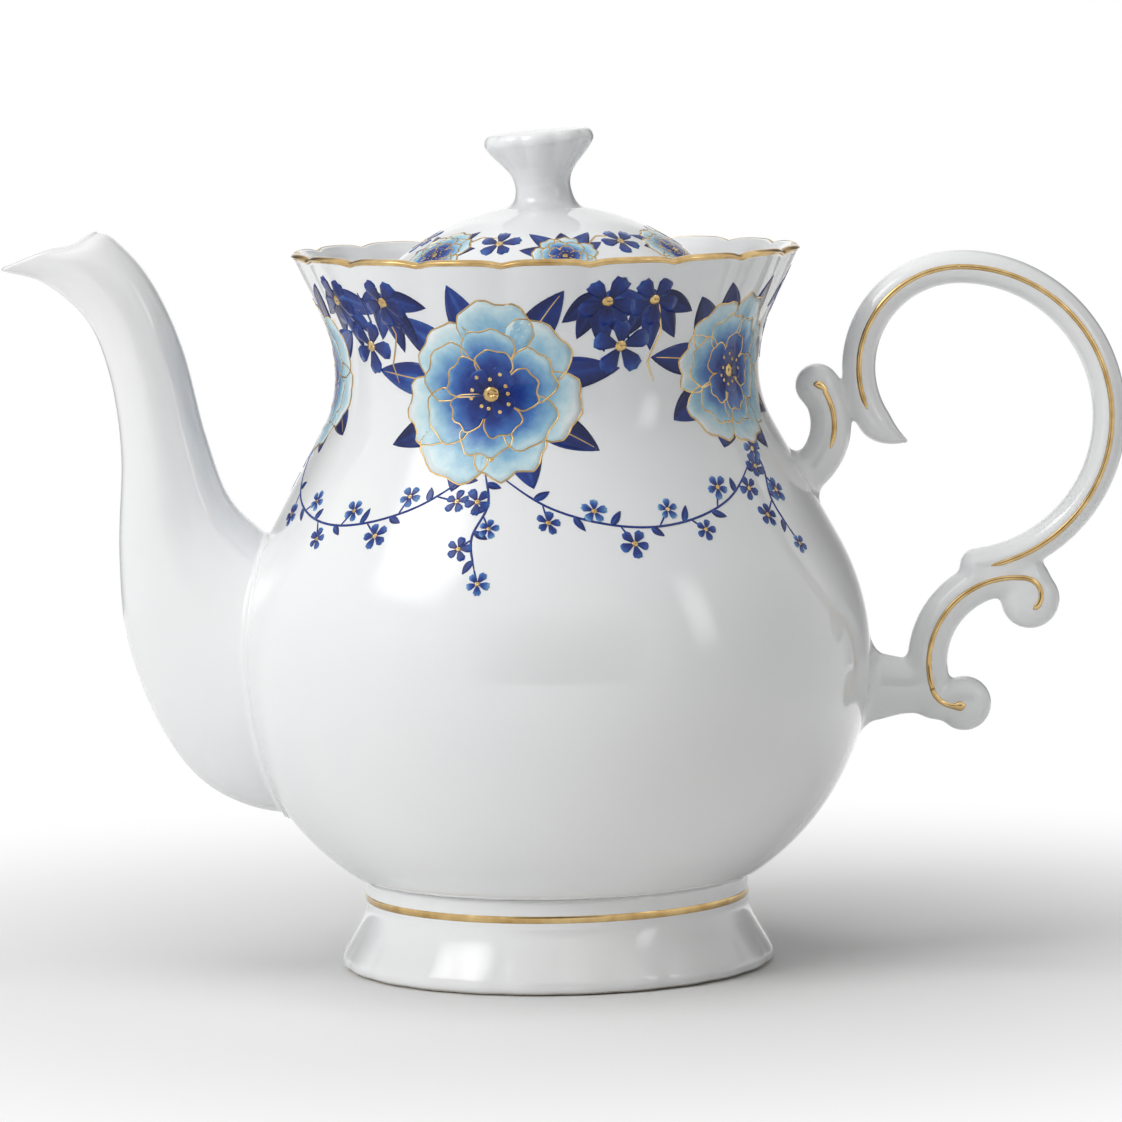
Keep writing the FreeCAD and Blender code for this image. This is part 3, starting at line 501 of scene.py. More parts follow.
def fieldSlope(field, p, step=0.02):
    # central differences of a field
    slopes = []
    for d in step * np.eye(3):
        slopes.append((field(*(p + d).T) - field(*(p - d).T)) / (2 * step))
    return np.stack(slopes, -1)


def fieldSurface(field, low, high, cell, sweeps=4, stride=0.3):
    # surface where a field is zero: one point in every grid cell that it crosses, moved onto the surface
    axes = [np.arange(a, b + cell, cell) for a, b in zip(low, high)]
    values = field(*np.meshgrid(*axes, indexing="ij"))
    shape = np.array(values.shape) - 1
    total, count = np.zeros((*shape, 3)), np.zeros(shape)
    crossings = []
    for axis in range(3):
        a, b = (values.take(np.arange(shape[axis]) + step, axis) for step in (0, 1))
        at = np.argwhere((a < 0) != (b < 0))
        others = [k for k in range(3) if k != axis]
        at = at[np.all((at[:, others] > 0) & (at[:, others] < shape[others]), axis=1)]
        va, vb = a[tuple(at.T)], b[tuple(at.T)]
        place = at.astype(float)
        place[:, axis] += va / (va - vb)
        for shift in ((0, 0), (0, -1), (-1, 0), (-1, -1)):
            cellAt = at.copy()
            cellAt[:, others] += shift
            np.add.at(total, tuple(cellAt.T), place)
            np.add.at(count, tuple(cellAt.T), 1)
        crossings.append((axis, at, va < 0))
    used = count > 0
    index = np.full(shape, -1)
    index[used] = np.arange(used.sum())
    points = total[used] / count[used][:, None] * cell + np.array(low)
    quads = []
    for axis, at, forward in crossings:
        corner = []
        for shift in ((-1, -1), (0, -1), (0, 0), (-1, 0)):
            cellAt = at.copy()
            cellAt[:, [(axis + 1) % 3, (axis + 2) % 3]] += shift
            corner.append(index[tuple(cellAt.T)])
        quad = np.stack(corner, -1)
        quads.append(np.where(forward[:, None], quad, quad[:, ::-1]))
    for sweep in range(sweeps):
        slope = fieldSlope(field, points)
        move = field(*points.T)[:, None] * slope / np.maximum((slope ** 2).sum(-1, keepdims=True), 0.05)
        points = points - np.clip(move, -stride, stride)
    return points, np.concatenate(quads)


def buildHandle(material):
    # the zero surface of the handle's field
    points, quads = fieldSurface(handleField, handle["boxLow"], handle["boxHigh"], handle["cell"])
    addPiece("scrollHandle", points, quads, "pot", ["handle"], "porcelain", material)


def handleSide(x, z, widest=9.0, halvings=30):
    # half depth of the handle at a point of its plane, found by halving
    low, high = np.zeros_like(x), np.full_like(x, widest)
    for halving in range(halvings):
        middle = 0.5 * (low + high)
        inside = handleField(x, middle, z) < 0
        low, high = np.where(inside, middle, low), np.where(inside, high, middle)
    return low


# adjustable values of the gilding; lines as lists of arcs like those of the handle, from first to last angle,
# with the swelling of the bead at either end
gilding = dict(
    lineHalf=0.58, rise=0.24, sink=0.12, plainEnd=2.5, blobEnd=0.9, blobPlace=1.3, blobWidth=1.1,
    rimWidth=0.75, rimLift=0.06, rimSink=0.2, footWidth=1.6, footZ=15.9, footLift=0.1, footSink=0.3)
goldLines = dict(
    loop=([(92.0, 132.6, 22.6, 203.0, 90.0), (92.0, 121.4, 33.8, 90.0, -79.0)], (0.0, 0.0)),
    upper=([(49.4, 120.5, 14.4, -22.0, 30.0), (59.6, 127.0, 2.6, 30.0, 100.0)], (0.0, 0.5)),
    lower=([(105.8, 81.4, 3.8, -60.0, 82.0), (103.6, 66.0, 19.4, 82.0, 196.0),
            (90.3, 62.2, 5.6, 196.0, 292.0)], (0.2, 0.9)))


def arcsPath(arcs, step=0.35):
    # points along arcs that lead into one another, and the directions across the path
    places, across = [], []
    for cx, cz, radius, first, last in arcs:
        count = max(3, int(abs(math.radians(last - first)) * radius / step))
        turn = np.radians(np.linspace(first, last, count))
        places.append(beside(cx + radius * np.cos(turn), cz + radius * np.sin(turn)))
        across.append(beside(np.cos(turn), np.sin(turn)))
    return np.concatenate(places), np.concatenate(across)


def closedStrip(top, bottom):
    # thin closed skin between two grids of the same shape
    rows, cols = top.shape[:2]
    upper = gridFaces(rows, cols, False)
    i, j = np.arange(rows - 1) * cols, np.arange(cols - 1)
    n = rows * cols
    end = n - cols
    rims = [(j + 1, j), (end + j, end + j + 1), (i, i + cols), (i + 2 * cols - 1, i + cols - 1)]
    sides = [beside(a, b, n + b, n + a) for a, b in rims]
    points = np.concatenate([top.reshape(-1, 3), bottom.reshape(-1, 3)])
    return points, np.concatenate([upper, upper[:, ::-1] + n] + sides)


def joined(parts):
    # the points and quads of several parts as one
    points, quads = [part[0] for part in parts], [part[1] for part in parts]
    starts = np.cumsum([0] + [len(p) for p in points])
    return np.concatenate(points), np.concatenate([q + start for q, start in zip(quads, starts)])


def handleLine(arcs, blobs):
    # gold bead on both faces of the handle: its width swells at an end with a blob and tapers at one without
    g = SimpleNamespace(**gilding)
    places, across = arcsPath(arcs)
    along = lengthAlong(places)
    ends = list(zip((along, along[-1] - along), blobs))
    taper = np.minimum(*(end / (g.blobEnd if blob else g.plainEnd) for end, blob in ends))
    swell = sum((blob * np.exp(-((end - g.blobPlace) / g.blobWidth) ** 2) for end, blob in ends), 1)
    half = g.lineHalf * np.sqrt(np.clip(taper, 0.02, 1)) * swell
    share = np.linspace(-1, 1, 9)
    x = places[:, :1] + across[:, :1] * half[:, None] * share
    z = places[:, 1:] + across[:, 1:] * half[:, None] * share
    y = handleSide(x, z)
    rise = g.rise * (1 - share ** 2) * (half / g.lineHalf)[:, None] + 0.02
    parts = []
    for side in (-1, 1):
        points, quads = closedStrip(beside(x, side * (y + rise), z),
                                    beside(x, side * (y - g.sink), z))
        parts.append((points, quads if side > 0 else quads[:, ::-1]))
    return joined(parts)


def buildGilding(material):
    # a thin wrap over the rim's outer edge, a flat bead round the foot's neck, and the lines of the handle
    g, angles = SimpleNamespace(**gilding), turns(vessel["columns"])
    top, neck = vessel["rimZ"], foot["neck"]
    down = np.linspace(top - g.rimWidth - 0.6, top - vessel["lipOut"], 6)
    side = lambda lift: beside(bodyRadius(down) + lift, down)
    wrap = lambda lift: np.concatenate([side(lift), lipArc(20, 100, 7, lift)])
    section = np.concatenate([wrap(g.rimLift), wrap(-g.rimSink)[::-1]])
    section[0, 0] -= 0.5 * g.rimLift
    ringPiece("rimGilding", section, angles, lobedPlace, "pot", ["rim_gilding"], "gilding", material)
    turn = np.radians(np.linspace(-90, 90, 9))
    bead = beside(neck + g.footLift * np.cos(turn), g.footZ + 0.5 * g.footWidth * np.sin(turn))
    back = [(neck - g.footSink, g.footZ + rise) for rise in (0.6, -0.6)]
    section = np.concatenate([bead, back])
    ringPiece("footGilding", section, angles, plainPlace, "pot", ["foot_gilding"], "gilding", material)
    for line, (arcs, blobs) in goldLines.items():
        points, quads = handleLine(arcs, blobs)
        addPiece(line + "Gilding", points, quads, "pot", [line + "_gilding"], "gilding", material)


# adjustable values of the painted flowers: places by angle from the front and height, sizes in millimetres,
# leaves as direction and length, those of a rose in degrees and for the size leavesAt; darks and tints run
# from 0, navy, to 1, nearly white; overSpout and atHandle number the roses with no pendant and no swag
flowers = dict(
    first=-15.0, step=72.0, roseZ=131.5, otherRise=3.0, roseSizes=(20.5, 17.0, 18.5, 17.0, 18.0), lift=0.06,
    layer=0.03, sink=0.1, outline=0.17, veinHalf=0.14, stemHalf=0.26, stalkHalf=0.2,
    roseLeaves=((20, 18), (55, 19), (100, 16), (140, 18), (168, 19), (205, 16), (250, 13), (300, 14),
                (335, 17)),
    leavesAt=20.0, leafHalf=3.6, leafDarks=(0.02, 0.1, 0.2), veined=(55, 168, 335), budZ=150.5, budTurn=28.0,
    budSize=6.2, budTints=(0.0, 0.3), betweenZ=139.5, betweenSize=6.4, betweenTints=(0.02, 0.36),
    budLeaves=((-0.5, 11), (-1.1, 13), (-1.57, 14), (-2.1, 12), (-2.7, 11)), budLeafHalf=2.6,
    budDarks=(0.0, 0.06, 0.16), swagZ=103.0, swagReach=34.0,
    swagSag=16.0, swagSize=3.0, pendantSize=2.8, overSpout=4, atHandle=1, lidFirst=8.0, lidRoses=6,
    lidReach=31.0, lidSizes=(7.2, 8.6), smallReach=27.0,
    lidLeaves=((0.3, 10), (0.9, 11), (2.2, 11), (2.8, 10), (3.6, 9), (-0.5, 9), (1.57, 9)), lidLeafHalf=2.4,
    lidDarks=(0.0, 0.1, 0.2), smallSize=4.6, smallTints=(0.02, 0.4), seed=11)
dice = np.random.default_rng(flowers["seed"])
ink, goldWork = {"pot": [], "lid": []}, {"pot": [], "lid": []}


def potSpot(degrees, z):
    # local plane on the vessel: u along the girth, v up along the profile, both in true millimetres
    heights = np.linspace(vessel["waistZ"] + 1, vessel["rimZ"], 500)
    along = lengthAlong(beside(heights, bodyRadius(heights)))
    start = np.interp(z, heights, along)

    def spot(u, v, lift):
        at = np.interp(start + v, along, heights)
        return bodyPoint(math.radians(degrees - 90.0) + u / bodyRadius(at), at, lift)
    return spot


def lidSpot(degrees, reach):
    # local plane on the lid's dome: u along the girth, v toward the crown
    centre, radius = domeShape()

    def spot(u, v, lift):
        swing = math.asin(reach / radius) - v / radius
        angle = math.radians(degrees - 90.0) + u / (radius * np.sin(np.maximum(swing, 0.1)))
        r, h = (radius + lift) * np.sin(swing), (radius + lift) * np.cos(swing)
        return beside(r * np.cos(angle), r * np.sin(angle), centre + h)
    return spot


def paint(store, spot, u, v, layer, tint):
    # one brush mark: a thin closed skin on the glaze, higher layers over lower ones
    f = SimpleNamespace(**flowers)
    points, quads = closedStrip(spot(u, v, f.lift + f.layer * layer), spot(u, v, -f.sink))
    store.append((points, quads, np.tile((tint + 0 * u).ravel(), 2)))


def stroke(store, spot, path, half, layer, tint=0.2, thin=0.35):
    # line along a path, thinner at its ends by the given share
    path = spaced(np.asarray(path, float), 0.6)
    along = np.gradient(path, axis=0)
    along /= np.linalg.norm(along, axis=1, keepdims=True)
    share = np.linspace(0, 1, len(path))
    wide = half * np.minimum(thin + 4 * share, np.minimum(thin + 4 * (1 - share), 1))
    side = np.linspace(-1, 1, 3)
    u = path[:, :1] - along[:, 1:] * wide[:, None] * side
    v = path[:, 1:] + along[:, :1] * wide[:, None] * side
    paint(store, spot, u, v, layer, tint)


def petal(body, spot, at, turn, length, spread, tints, layer, grid=(11, 13), outlined=True):
    # fan from its root: rays within the spread, their ends rounded and waved; darker at the root and sides
    a, b = np.linspace(0.1, 1, grid[0])[:, None], np.linspace(-1, 1, grid[1])[None, :]
    phase, wave = dice.uniform(0, 6.3), dice.uniform(0.02, 0.05)
    reach = length * (1 - 0.24 * b ** 4) * (1 + wave * np.cos(3 * np.pi * b + phase))
    theta = turn + spread * b * (1 - 0.12 * a)
    u, v = at[0] + a * reach * np.cos(theta), at[1] + a * reach * np.sin(theta)
    tint = tints[0] + (tints[1] - tints[0]) * a ** 1.6 + 0.09 * np.cos(8 * b + phase) * (1 - a)
    paint(ink[body], spot, u, v, layer, tint - 0.16 * b ** 6 * a + 0.06 * np.cos(2 * b + phase) * a)
    if outlined:
        edge = [np.concatenate([p[3:, 0], p[-1, 1:-1], p[:2:-1, -1]]) for p in (u, v)]
        stroke(goldWork[body], spot, np.stack(edge, -1), flowers["outline"], layer + 0.5)


def leaf(body, spot, at, turn, length, half, layer, dark, curve=0.12, vein=False):
    # pointed leaf about a bent midrib: dark, paler along the rib and toward one side
    a, b = np.linspace(0, 1, 13)[:, None], np.linspace(-1, 1, 7)[None, :]
    x = length * a + 0 * b
    y = curve * length * a ** 2 + b * (half * np.sin(np.pi * a ** 0.8) ** 0.85 + 0.03)
    u = at[0] + x * math.cos(turn) - y * math.sin(turn)
    v = at[1] + x * math.sin(turn) + y * math.cos(turn)
    rib = 0.22 * np.exp(-(b / 0.16) ** 2) * (1 - 0.6 * a)
    paint(ink[body], spot, u, v, layer, dark + rib + 0.1 * b * dice.choice([-1, 1]) + 0.12 * (1 - a) ** 2)
    if vein:
        stroke(goldWork[body], spot, beside(u[1:-1, 3], v[1:-1, 3]), flowers["veinHalf"], layer + 0.5)


def fan(body, spot, at, leaves, half, layer, darks):
    # leaves of the given directions and lengths out of one point, each turned a little at random
    for turn, length in leaves:
        leaf(body, spot, at, turn + dice.uniform(-0.15, 0.15), length, half, layer + 0.1 * turn,
             dice.choice(darks))


def dot(store, spot, at, radius, layer):
    # round spot drawn as rings
    a, b = np.linspace(0.05, 1, 3)[:, None], np.linspace(0, 2 * np.pi, 11)[None, :]
    paint(store, spot, at[0] + radius * a * np.cos(b), at[1] + radius * a * np.sin(b), layer, 0.0)


def blossom(body, spot, at, size, layer, tints, petals=5):
    # small open flower with a gold eye
    start = dice.uniform(0, 6.3)
    for k in range(petals):
        petal(body, spot, at, start + 2 * np.pi * k / petals, size * dice.uniform(0.92, 1.08),
              0.8 * np.pi / petals, tints, layer + 0.06 * k, (5, 7), False)
    dot(goldWork[body], spot, at, 0.2 * size, layer + 1.0)


# rounds of a rose from the outside in: petals, share of the size, spread of a petal, its tints
roseRounds = ((7, 1.0, 0.62, (0.42, 0.95)), (6, 0.74, 0.66, (0.16, 0.84)), (5, 0.5, 0.7, (0.0, 0.52)),
              (4, 0.3, 0.75, (0.0, 0.3)))


def rose(body, spot, size, layer=2.0, stamens=11):
    # rounds of overlapping petals, pale outside and navy within, round a gold heart and its stamens
    start = dice.uniform(0, 6.3)
    for ring, (count, share, spread, tints) in enumerate(roseRounds):
        for k in range(count):
            turn = start + 0.45 * ring + 2 * np.pi * k / count + dice.uniform(-0.1, 0.1)
            petal(body, spot, (0.0, 0.0), turn, size * share * dice.uniform(0.92, 1.06), spread, tints,
                  layer + ring + 0.08 * k, outlined=ring < 3)
    dot(goldWork[body], spot, (0, 0), 0.085 * size, layer + 4.6)
    for k in range(stamens):
        turn = 2 * np.pi * k / stamens + dice.uniform(-0.1, 0.1)
        reach = size * dice.uniform(0.15, 0.24)
        dot(goldWork[body], spot, (reach * math.cos(turn), reach * math.sin(turn)), 0.022 * size, layer + 4.6)


def sprig(body, spot, path, size, count, layer=1.0, swing=0.9):
    # thin stem with blossoms on short side stalks and tiny leaves between them
    path = spaced(curveThrough(path, 60), 1.0)
    stroke(ink[body], spot, path, flowers["stemHalf"], layer, 0.22)
    for k, share in enumerate(np.linspace(0.2, 0.96, count)):
        i = min(int(share * (len(path) - 1)), len(path) - 2)
        ahead = math.atan2(*(path[i + 1] - path[i])[::-1])
        side = swing if k % 2 else -swing
        turn = ahead + side * (1.0 if k < count - 1 else 0.1)
        tip = path[i] + dice.uniform(3.2, 5.5) * np.array([math.cos(turn), math.sin(turn)])
        stalk = np.stack([path[i], 0.5 * (path[i] + tip), tip])
        stroke(ink[body], spot, stalk, flowers["stalkHalf"], layer, 0.25)
        blossom(body, spot, tip, size * dice.uniform(0.8, 1.1), layer + 0.6, (0.08, 0.42 + 0.2 * (k % 2)))
        leaf(body, spot, path[i - 2], ahead - side, dice.uniform(3.0, 4.5), 0.8, layer + 0.2, 0.12)


def paintCollar():
    # five roses in leaves with dark buds under the rim, a pendant under each and swags from one to the next
    f = SimpleNamespace(**flowers)
    for k, size in enumerate(f.roseSizes):
        angle = f.first + f.step * k
        spot = potSpot(angle, f.roseZ + (f.otherRise if k else 0.0))
        for turn, length in f.roseLeaves:
            t = math.radians(turn + dice.uniform(-6, 6))
            base = 0.5 * size * np.array([math.cos(t), math.sin(t)])
            leaf("pot", spot, base, t + dice.uniform(-0.2, 0.2), length * size / f.leavesAt, f.leafHalf,
                 0.1 * (turn % 7), dice.choice(f.leafDarks), dice.uniform(-0.15, 0.15), turn in f.veined)
        rose("pot", spot, size)
        for side in (-1, 1):
            bud = potSpot(angle + side * (f.budTurn + dice.uniform(-2, 2)), f.budZ)
            fan("pot", bud, (0.0, 3.0), f.budLeaves, f.budLeafHalf, 0.3, f.budDarks)
            blossom("pot", bud, (dice.uniform(-2, 2), 1.0), f.budSize, 1.6, f.budTints)
        halfway = angle + 0.5 * f.step
        between = potSpot(halfway, f.betweenZ)
        blossom("pot", between, (-1.5, 2.0), f.betweenSize, 1.6, f.betweenTints)
        stroke(ink["pot"], between, [(-1.5, 2.0), (1.0, 8.0), (0.0, 15.0)], 0.3, 0.5, 0.15)
        stroke(goldWork["pot"], between, [(6.0, 14.0), (8.0, 5.0), (5.0, -2.0), (6.5, -6.0)], 0.2, 0.5)
        if k != f.overSpout:
            drop = -0.85 * size
            pendant = [(0.0, drop), (1.6, drop - 8.0), (-1.2, drop - 16.0), (0.4, drop - 24.0)]
            sprig("pot", spot, pendant, f.pendantSize, 4)
        if k != f.atHandle:
            reach, sag = f.swagReach, f.swagSag
            swag = [(reach * u, sag * v) for u, v in ((-1, 1), (-0.6, 0.3), (0, 0), (0.6, 0.3), (1, 1))]
            sprig("pot", potSpot(halfway, f.swagZ), swag, f.swagSize, 8)


def paintLid():
    # small roses in leaves round the dome, by turns smaller and larger, with a dark blossom between them
    f = SimpleNamespace(**flowers)
    step = 360.0 / f.lidRoses
    for k in range(f.lidRoses):
        spot = lidSpot(f.lidFirst + step * k, f.lidReach)
        fan("lid", spot, (0.0, 0.0), f.lidLeaves, f.lidLeafHalf, 0.2, f.lidDarks)
        rose("lid", spot, f.lidSizes[k % 2], 1.2)
        small = lidSpot(f.lidFirst + step * (k + 0.5), f.smallReach)
        blossom("lid", small, (0.0, 0.0), f.smallSize, 1.0, f.smallTints)
        stroke(goldWork["lid"], small, [(-9.0, -1.0), (-5.0, 2.5), (0.0, 2.0)], 0.18, 0.6)


def buildFlowers(inkMaterial, goldMaterial):
    # all brush marks of a body become one piece, and all its gold marks another
    paintCollar()
    paintLid()
    for body in ("pot", "lid"):
        points, quads = joined(ink[body])
        tints = np.concatenate([part[2] for part in ink[body]])
        addPiece(body + "Flowers", points, quads, body, [], "porcelain", inkMaterial, tints)
        points, quads = joined(goldWork[body])
        addPiece(body + "FlowerGold", points, quads, body, [], "gilding", goldMaterial)


# adjustable looks: colours, patches and waves in features per metre, spans of roughness, heights in metres
looks = dict(
    whites=((0.3, (0.80, 0.815, 0.83)), (0.7, (0.86, 0.862, 0.855))), whitePatches=9.0,
    bareColour=(0.62, 0.57, 0.49, 1.0), bareBelow=0.0002, glazedAbove=0.0007, glazeIndex=1.52, glazeCoat=0.6,
    coatRough=0.03, glazeRough=(0.05, 0.12), glazePatches=18.0, waves=34.0, waveStrength=0.10,
    waveDepth=0.0012, printIndex=1.4, wash=(-0.16, 0.16), washPatches=260.0,
    blues=((0.0, (0.004, 0.009, 0.075)), (0.25, (0.010, 0.036, 0.23)), (0.48, (0.05, 0.16, 0.46)),
           (0.7, (0.27, 0.50, 0.66)), (0.86, (0.56, 0.74, 0.79)), (1.0, (0.82, 0.85, 0.85))),
    golds=((0.25, (0.42, 0.26, 0.09)), (0.75, (0.74, 0.54, 0.26))), goldPatches=220.0, goldRough=(0.07, 0.17))


def setInputs(tree, node, inputs):
    # each named input is linked where a socket is given, and otherwise takes the plain value
    for key, value in inputs.items():
        if isinstance(value, bpy.types.NodeSocket):
            tree.links.new(value, node.inputs[key])
        else:
            node.inputs[key].default_value = value


def addNode(tree, kind, inputs=None, **settings):
    # new shader node; its settings come before its inputs, because they decide which inputs there are
    node = tree.nodes.new("ShaderNode" + kind)
    for key, value in settings.items():
        setattr(node, key, value)
    setInputs(tree, node, inputs or {})
    return node


def newMaterial(name):
    material = bpy.data.materials.new(name)
    material.use_nodes = True
    return material, material.node_tree, material.node_tree.nodes["Principled BSDF"]


def objectPlace(tree):
    return addNode(tree, "TexCoord").outputs["Object"]


def noiseOver(tree, scale, detail=3.0, roughness=0.5):
    # noise over object coordinates, in features per metre
    values = {"Vector": objectPlace(tree), "Scale": scale, "Detail": detail, "Roughness": roughness}
    return addNode(tree, "TexNoise", values).outputs["Fac"]


def rampOver(tree, source, stops):
    # colour ramp through (position, colour) stops
    ramp = addNode(tree, "ValToRGB", {"Fac": source})
    while len(ramp.color_ramp.elements) < len(stops):
        ramp.color_ramp.elements.new(0.5)
    for element, (position, colour) in zip(ramp.color_ramp.elements, stops):
        element.position = position
        element.color = (*colour, 1.0)
    return ramp.outputs["Color"]


def spanOver(tree, source, low, high):
    # carries a 0 to 1 value over to the span from low to high
    return addNode(tree, "MapRange", {"Value": source, "To Min": low, "To Max": high}).outputs["Result"]


def glazeFinish(tree, shader, index, coat):
    # clear glaze: glossy coat, uneven by a little, with slow waves left by the firing
    k = SimpleNamespace(**looks)
    waves = noiseOver(tree, k.waves, 2.0)
    bump = {"Strength": k.waveStrength, "Distance": k.waveDepth, "Height": waves}
    normal = addNode(tree, "Bump", bump).outputs["Normal"]
    rough = spanOver(tree, noiseOver(tree, k.glazePatches, 4.0), *k.glazeRough)
    setInputs(tree, shader, {"Roughness": rough, "IOR": index, "Coat Weight": coat, "Normal": normal,
                             "Coat Roughness": k.coatRough, "Coat Normal": normal})


def porcelainMaterial():
    # white body under glaze, faintly warmer and cooler in patches
    material, tree, shader = newMaterial("porcelain")
    k = SimpleNamespace(**looks)
    white = rampOver(tree, noiseOver(tree, k.whitePatches, 5.0), k.whites)
    # the ring the pot stands on is left without glaze
    height = addNode(tree, "SeparateXYZ", {"Vector": objectPlace(tree)}).outputs["Z"]
    limits = {"Value": height, "From Min": k.bareBelow, "From Max": k.glazedAbove}
    glazed = addNode(tree, "MapRange", limits).outputs["Result"]
    shades = {"Factor": glazed, "A": k.bareColour, "B": white}
    mix = addNode(tree, "Mix", shades, data_type="RGBA")
    glazeFinish(tree, shader, k.glazeIndex, spanOver(tree, glazed, 0.0, k.glazeCoat))
    setInputs(tree, shader, {"Base Color": mix.outputs["Result"]})
    return material


def printMaterial():
    # blue washes: the tint attribute runs from navy to nearly white, uneven like a brush
    material, tree, shader = newMaterial("bluePrint")
    tint = addNode(tree, "Attribute", attribute_name="tint").outputs["Fac"]
    wash = spanOver(tree, noiseOver(tree, looks["washPatches"], 4.0, 0.6), *looks["wash"])
    uneven = addNode(tree, "Math", {0: tint, 1: wash}, operation="ADD").outputs[0]
    setInputs(tree, shader, {"Base Color": rampOver(tree, uneven, looks["blues"])})
    glazeFinish(tree, shader, looks["printIndex"], 0.0)  # printed over the glaze, so less bright
    return material


def goldMaterial():
    # bright fired gold, thinner and duller in places
    material, tree, shader = newMaterial("firedGold")
    patches = noiseOver(tree, looks["goldPatches"])
    golds = rampOver(tree, patches, looks["golds"])
    rough = spanOver(tree, patches, *looks["goldRough"])
    setInputs(tree, shader, {"Base Color": golds, "Metallic": 1.0, "Roughness": rough})
    return material


porcelain = porcelainMaterial()
gold = goldMaterial()
bluePrint = printMaterial()
stages = dict(
    vessel=(buildVessel, porcelain), foot=(buildFoot, porcelain), lid=(buildLid, porcelain),
    knob=(buildKnob, porcelain), spout=(buildSpout, porcelain), handle=(buildHandle, porcelain),
    gilding=(buildGilding, gold), flowers=(buildFlowers, bluePrint, gold))
for stage, (build, *finishes) in stages.items():
    build(*finishes)
    print("stage:", stage)


# adjustable values of the studio, metres and watts; the foot's middle in the photograph in its pixels
studio = dict(
    distance=1.35, height=0.222, aimZ=0.0905, roll=-1.06, pixel=0.2245e-3, imageSide=1122, footX=558.5,
    footY=960.0, sensor=36.0, clipStart=0.05, lampAim=(0.0, 0.0, 0.1), floorHalf=6.0, floorZ=-0.0002,
    floorNear=0.08, floorFar=0.28, floorTones=(0.80, 0.84), floorPatches=3.0, floorRough=0.7,
    roomColour=(0.86, 0.86, 0.85, 1.0), roomStrength=0.30)
# lamps as place, width, height and power
lamps = dict(
    keyLeft=((-1.05, -0.75, 0.7), 0.7, 0.7, 10.2), topSoft=((-0.1, -0.1, 1.25), 1.1, 0.9, 6.8),
    fillRight=((1.2, -0.8, 0.45), 0.35, 0.7, 0.4))
# what the glaze mirrors of lamps and dark corners, as place, width, height and brightness
mirrored = dict(
    boxLeft=((-0.85, -0.45, 1.0), 0.8, 0.8, 5.0), boxRight=((0.9, -0.6, 0.55), 0.25, 0.7, 3.0),
    darkLeft=((-0.34, 0.46, 0.25), 0.5, 0.9, 0.1), darkRight=((0.34, 0.46, 0.25), 0.5, 0.9, 0.1),
    darkFront=((0.0, -1.7, 0.2), 2.2, 1.8, 0.1))


def buildCamera():
    # looks at the middle of the pot from the front; the focal length gives the photograph's scale there
    s = SimpleNamespace(**studio)
    data = bpy.data.cameras.new("camera")
    camera = bpy.data.objects.new("camera", data)
    scene.collection.objects.link(camera)
    camera.location = (0.0, -s.distance, s.height)
    look = Vector((0.0, 0.0, s.aimZ)) - camera.location
    camera.rotation_euler = look.to_track_quat("-Z", "Y").to_euler()
    camera.rotation_euler.rotate_axis("Z", math.radians(s.roll))
    data.sensor_width = s.sensor
    data.lens = s.sensor * look.length / (s.pixel * s.imageSide)
    data.clip_start = s.clipStart
    bpy.context.view_layer.update()
    # shift so that the middle of the foot's underside falls on its place in the photograph
    local = camera.matrix_world.inverted().translation
    focal = data.lens / data.sensor_width
    data.shift_x = 0.5 + focal * local.x / -local.z - s.footX / s.imageSide
    data.shift_y = s.footY / s.imageSide - (0.5 - focal * local.y / -local.z)
    scene.camera = camera


def addLamp(name, place, width, height, power):
    # soft rectangle of light turned to the pot; the glaze mirrors the sheets below in its stead
    data = bpy.data.lights.new(name, "AREA")
    data.shape = "RECTANGLE"
    data.size, data.size_y = width, height
    data.energy = power
    light = bpy.data.objects.new(name, data)
    light.location = place
    light.rotation_euler = (Vector(studio["lampAim"]) - Vector(place)).to_track_quat("-Z", "Y").to_euler()
    light.visible_glossy = False
    scene.collection.objects.link(light)


def stageSheet(name, points, faces, material):
    # sheet of the studio, not part of the teapot
    mesh = bpy.data.meshes.new(name)
    mesh.from_pydata(points, [], faces)
    mesh.materials.append(material)
    sheet = bpy.data.objects.new(name, mesh)
    scene.collection.objects.link(sheet)
    return sheet


def mirrorSheet(name, place, width, height, strength, cells=17):
    # glows in the middle and fades to the white of the room, and shows in glossy reflections only
    place = np.array(place)
    ahead = np.array(studio["lampAim"]) - place
    ahead = ahead / np.linalg.norm(ahead)
    across = np.cross(ahead, (0, 0, 1))
    across /= np.linalg.norm(across)
    u, w = np.meshgrid(np.linspace(-1, 1, cells), np.linspace(-1, 1, cells))
    points = place + 0.5 * (width * u[..., None] * across + height * w[..., None] * np.cross(across, ahead))
    material, tree, shader = newMaterial(name)
    level = addNode(tree, "Attribute", attribute_name="glow").outputs["Fac"]
    light = addNode(tree, "Emission", {"Strength": level}).outputs["Emission"]
    setInputs(tree, tree.nodes["Material Output"], {"Surface": light})
    tree.nodes.remove(shader)
    faces = gridFaces(cells, cells, False).tolist()
    sheet = stageSheet(name, points.reshape(-1, 3).tolist(), faces, material)
    glow = 1 + (strength - 1) * (np.cos(0.5 * np.pi * u) * np.cos(0.5 * np.pi * w)) ** 0.8
    values = sheet.data.attributes.new("glow", "FLOAT", "POINT").data
    values.foreach_set("value", glow.ravel().astype(np.float32))
    for ray in ("camera", "diffuse", "shadow", "transmission"):
        setattr(sheet, "visible_" + ray, False)


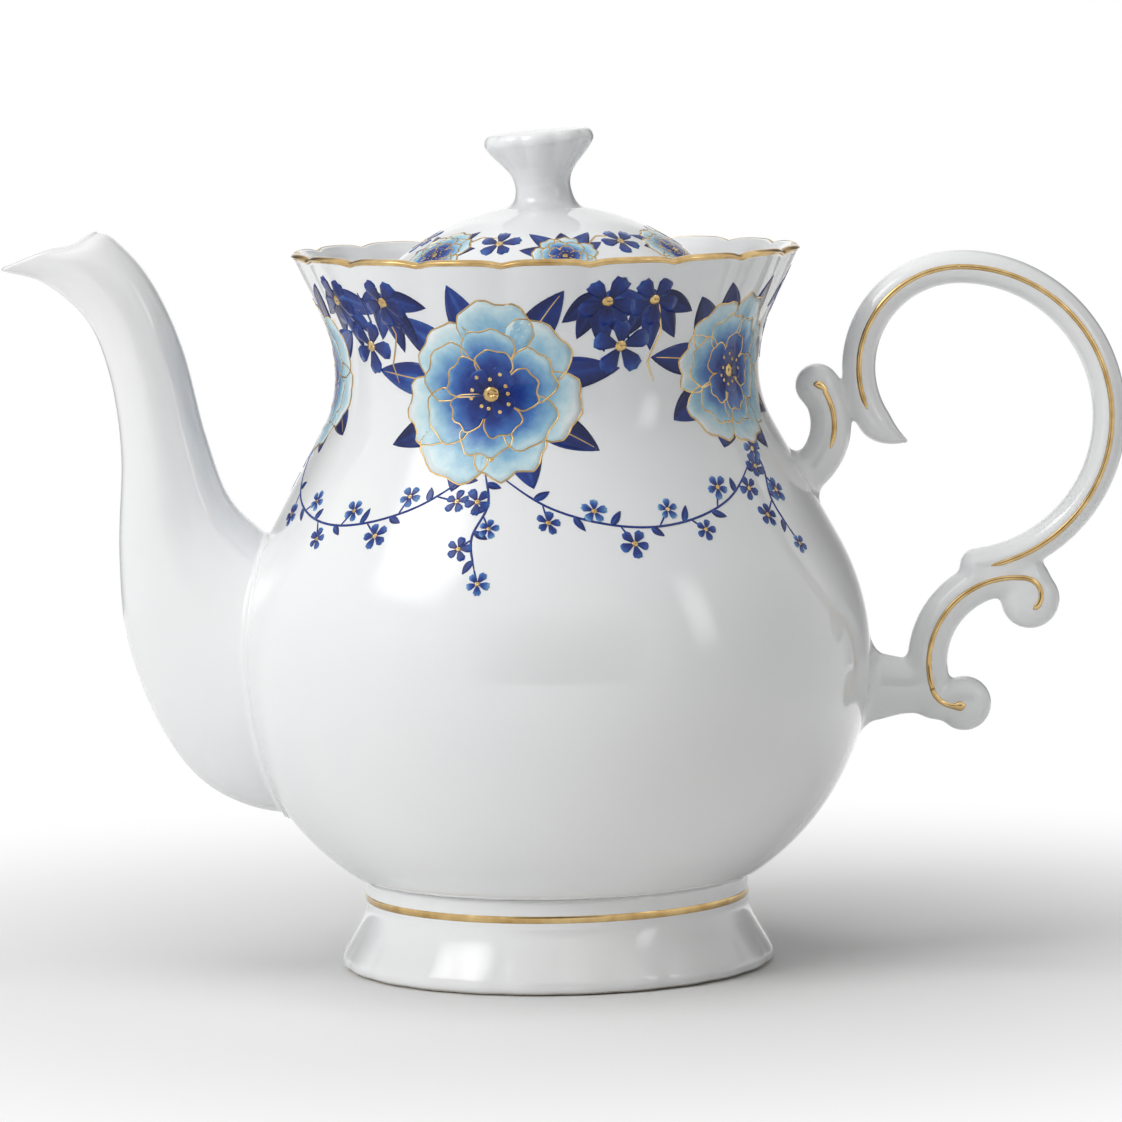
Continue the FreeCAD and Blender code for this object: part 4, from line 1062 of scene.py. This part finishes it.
def seenDirectly(tree):
    # one for rays from the camera, from mirrors and through glass
    path = addNode(tree, "LightPath").outputs
    total = path["Is Camera Ray"]
    for name in ("Is Glossy Ray", "Is Transmission Ray"):
        total = addNode(tree, "Math", {0: total, 1: path[name]}, operation="MAXIMUM").outputs[0]
    return total


def floorMaterial():
    # pale floor that keeps the shadow near the teapot and fades to the white of the background around it
    material, tree, shader = newMaterial("floor")
    s = SimpleNamespace(**studio)
    tones = [(place, (tone, tone, tone)) for place, tone in enumerate(s.floorTones)]
    pale = rampOver(tree, noiseOver(tree, s.floorPatches), tones)
    setInputs(tree, shader, {"Base Color": pale, "Roughness": s.floorRough})
    reach = addNode(tree, "VectorMath", {0: objectPlace(tree)}, operation="LENGTH").outputs["Value"]
    limits = {"Value": reach, "From Min": s.floorNear, "From Max": s.floorFar}
    fade = addNode(tree, "MapRange", limits, interpolation_type="SMOOTHSTEP").outputs["Result"]
    share = addNode(tree, "Math", {0: fade, 1: seenDirectly(tree)}, operation="MULTIPLY").outputs[0]
    white = addNode(tree, "Emission").outputs["Emission"]
    mix = addNode(tree, "MixShader", {"Fac": share, 1: shader.outputs["BSDF"], 2: white}).outputs["Shader"]
    setInputs(tree, tree.nodes["Material Output"], {"Surface": mix})
    return material


def buildStudio():
    # white room: broad soft light from the left and above, a weaker one from the right, pale floor,
    # and dark patches outside the picture that draw the edges of the white glaze and deepen the gold
    for name, values in lamps.items():
        addLamp(name, *values)
    for name, values in mirrored.items():
        mirrorSheet(name, *values)
    side, low = studio["floorHalf"], studio["floorZ"]  # the floor lies a hair below the resting ring
    corners = [(-side, -side, low), (side, -side, low), (side, side, low), (-side, side, low)]
    stageSheet("floor", corners, [(0, 1, 2, 3)], floorMaterial())
    scene.world = bpy.data.worlds.new("studio")
    scene.world.use_nodes = True
    tree = scene.world.node_tree
    room = tree.nodes["Background"]
    setInputs(tree, room, {"Color": studio["roomColour"], "Strength": studio["roomStrength"]})
    white = addNode(tree, "Background", {"Color": (1, 1, 1, 1), "Strength": 1.0}).outputs["Background"]
    shades = {"Fac": seenDirectly(tree), 1: room.outputs["Background"], 2: white}
    mix = addNode(tree, "MixShader", shades).outputs["Shader"]
    setInputs(tree, tree.nodes["World Output"], {"Surface": mix})


buildCamera()
buildStudio()
scene.view_settings.view_transform = "Standard"
print("stage: studio")
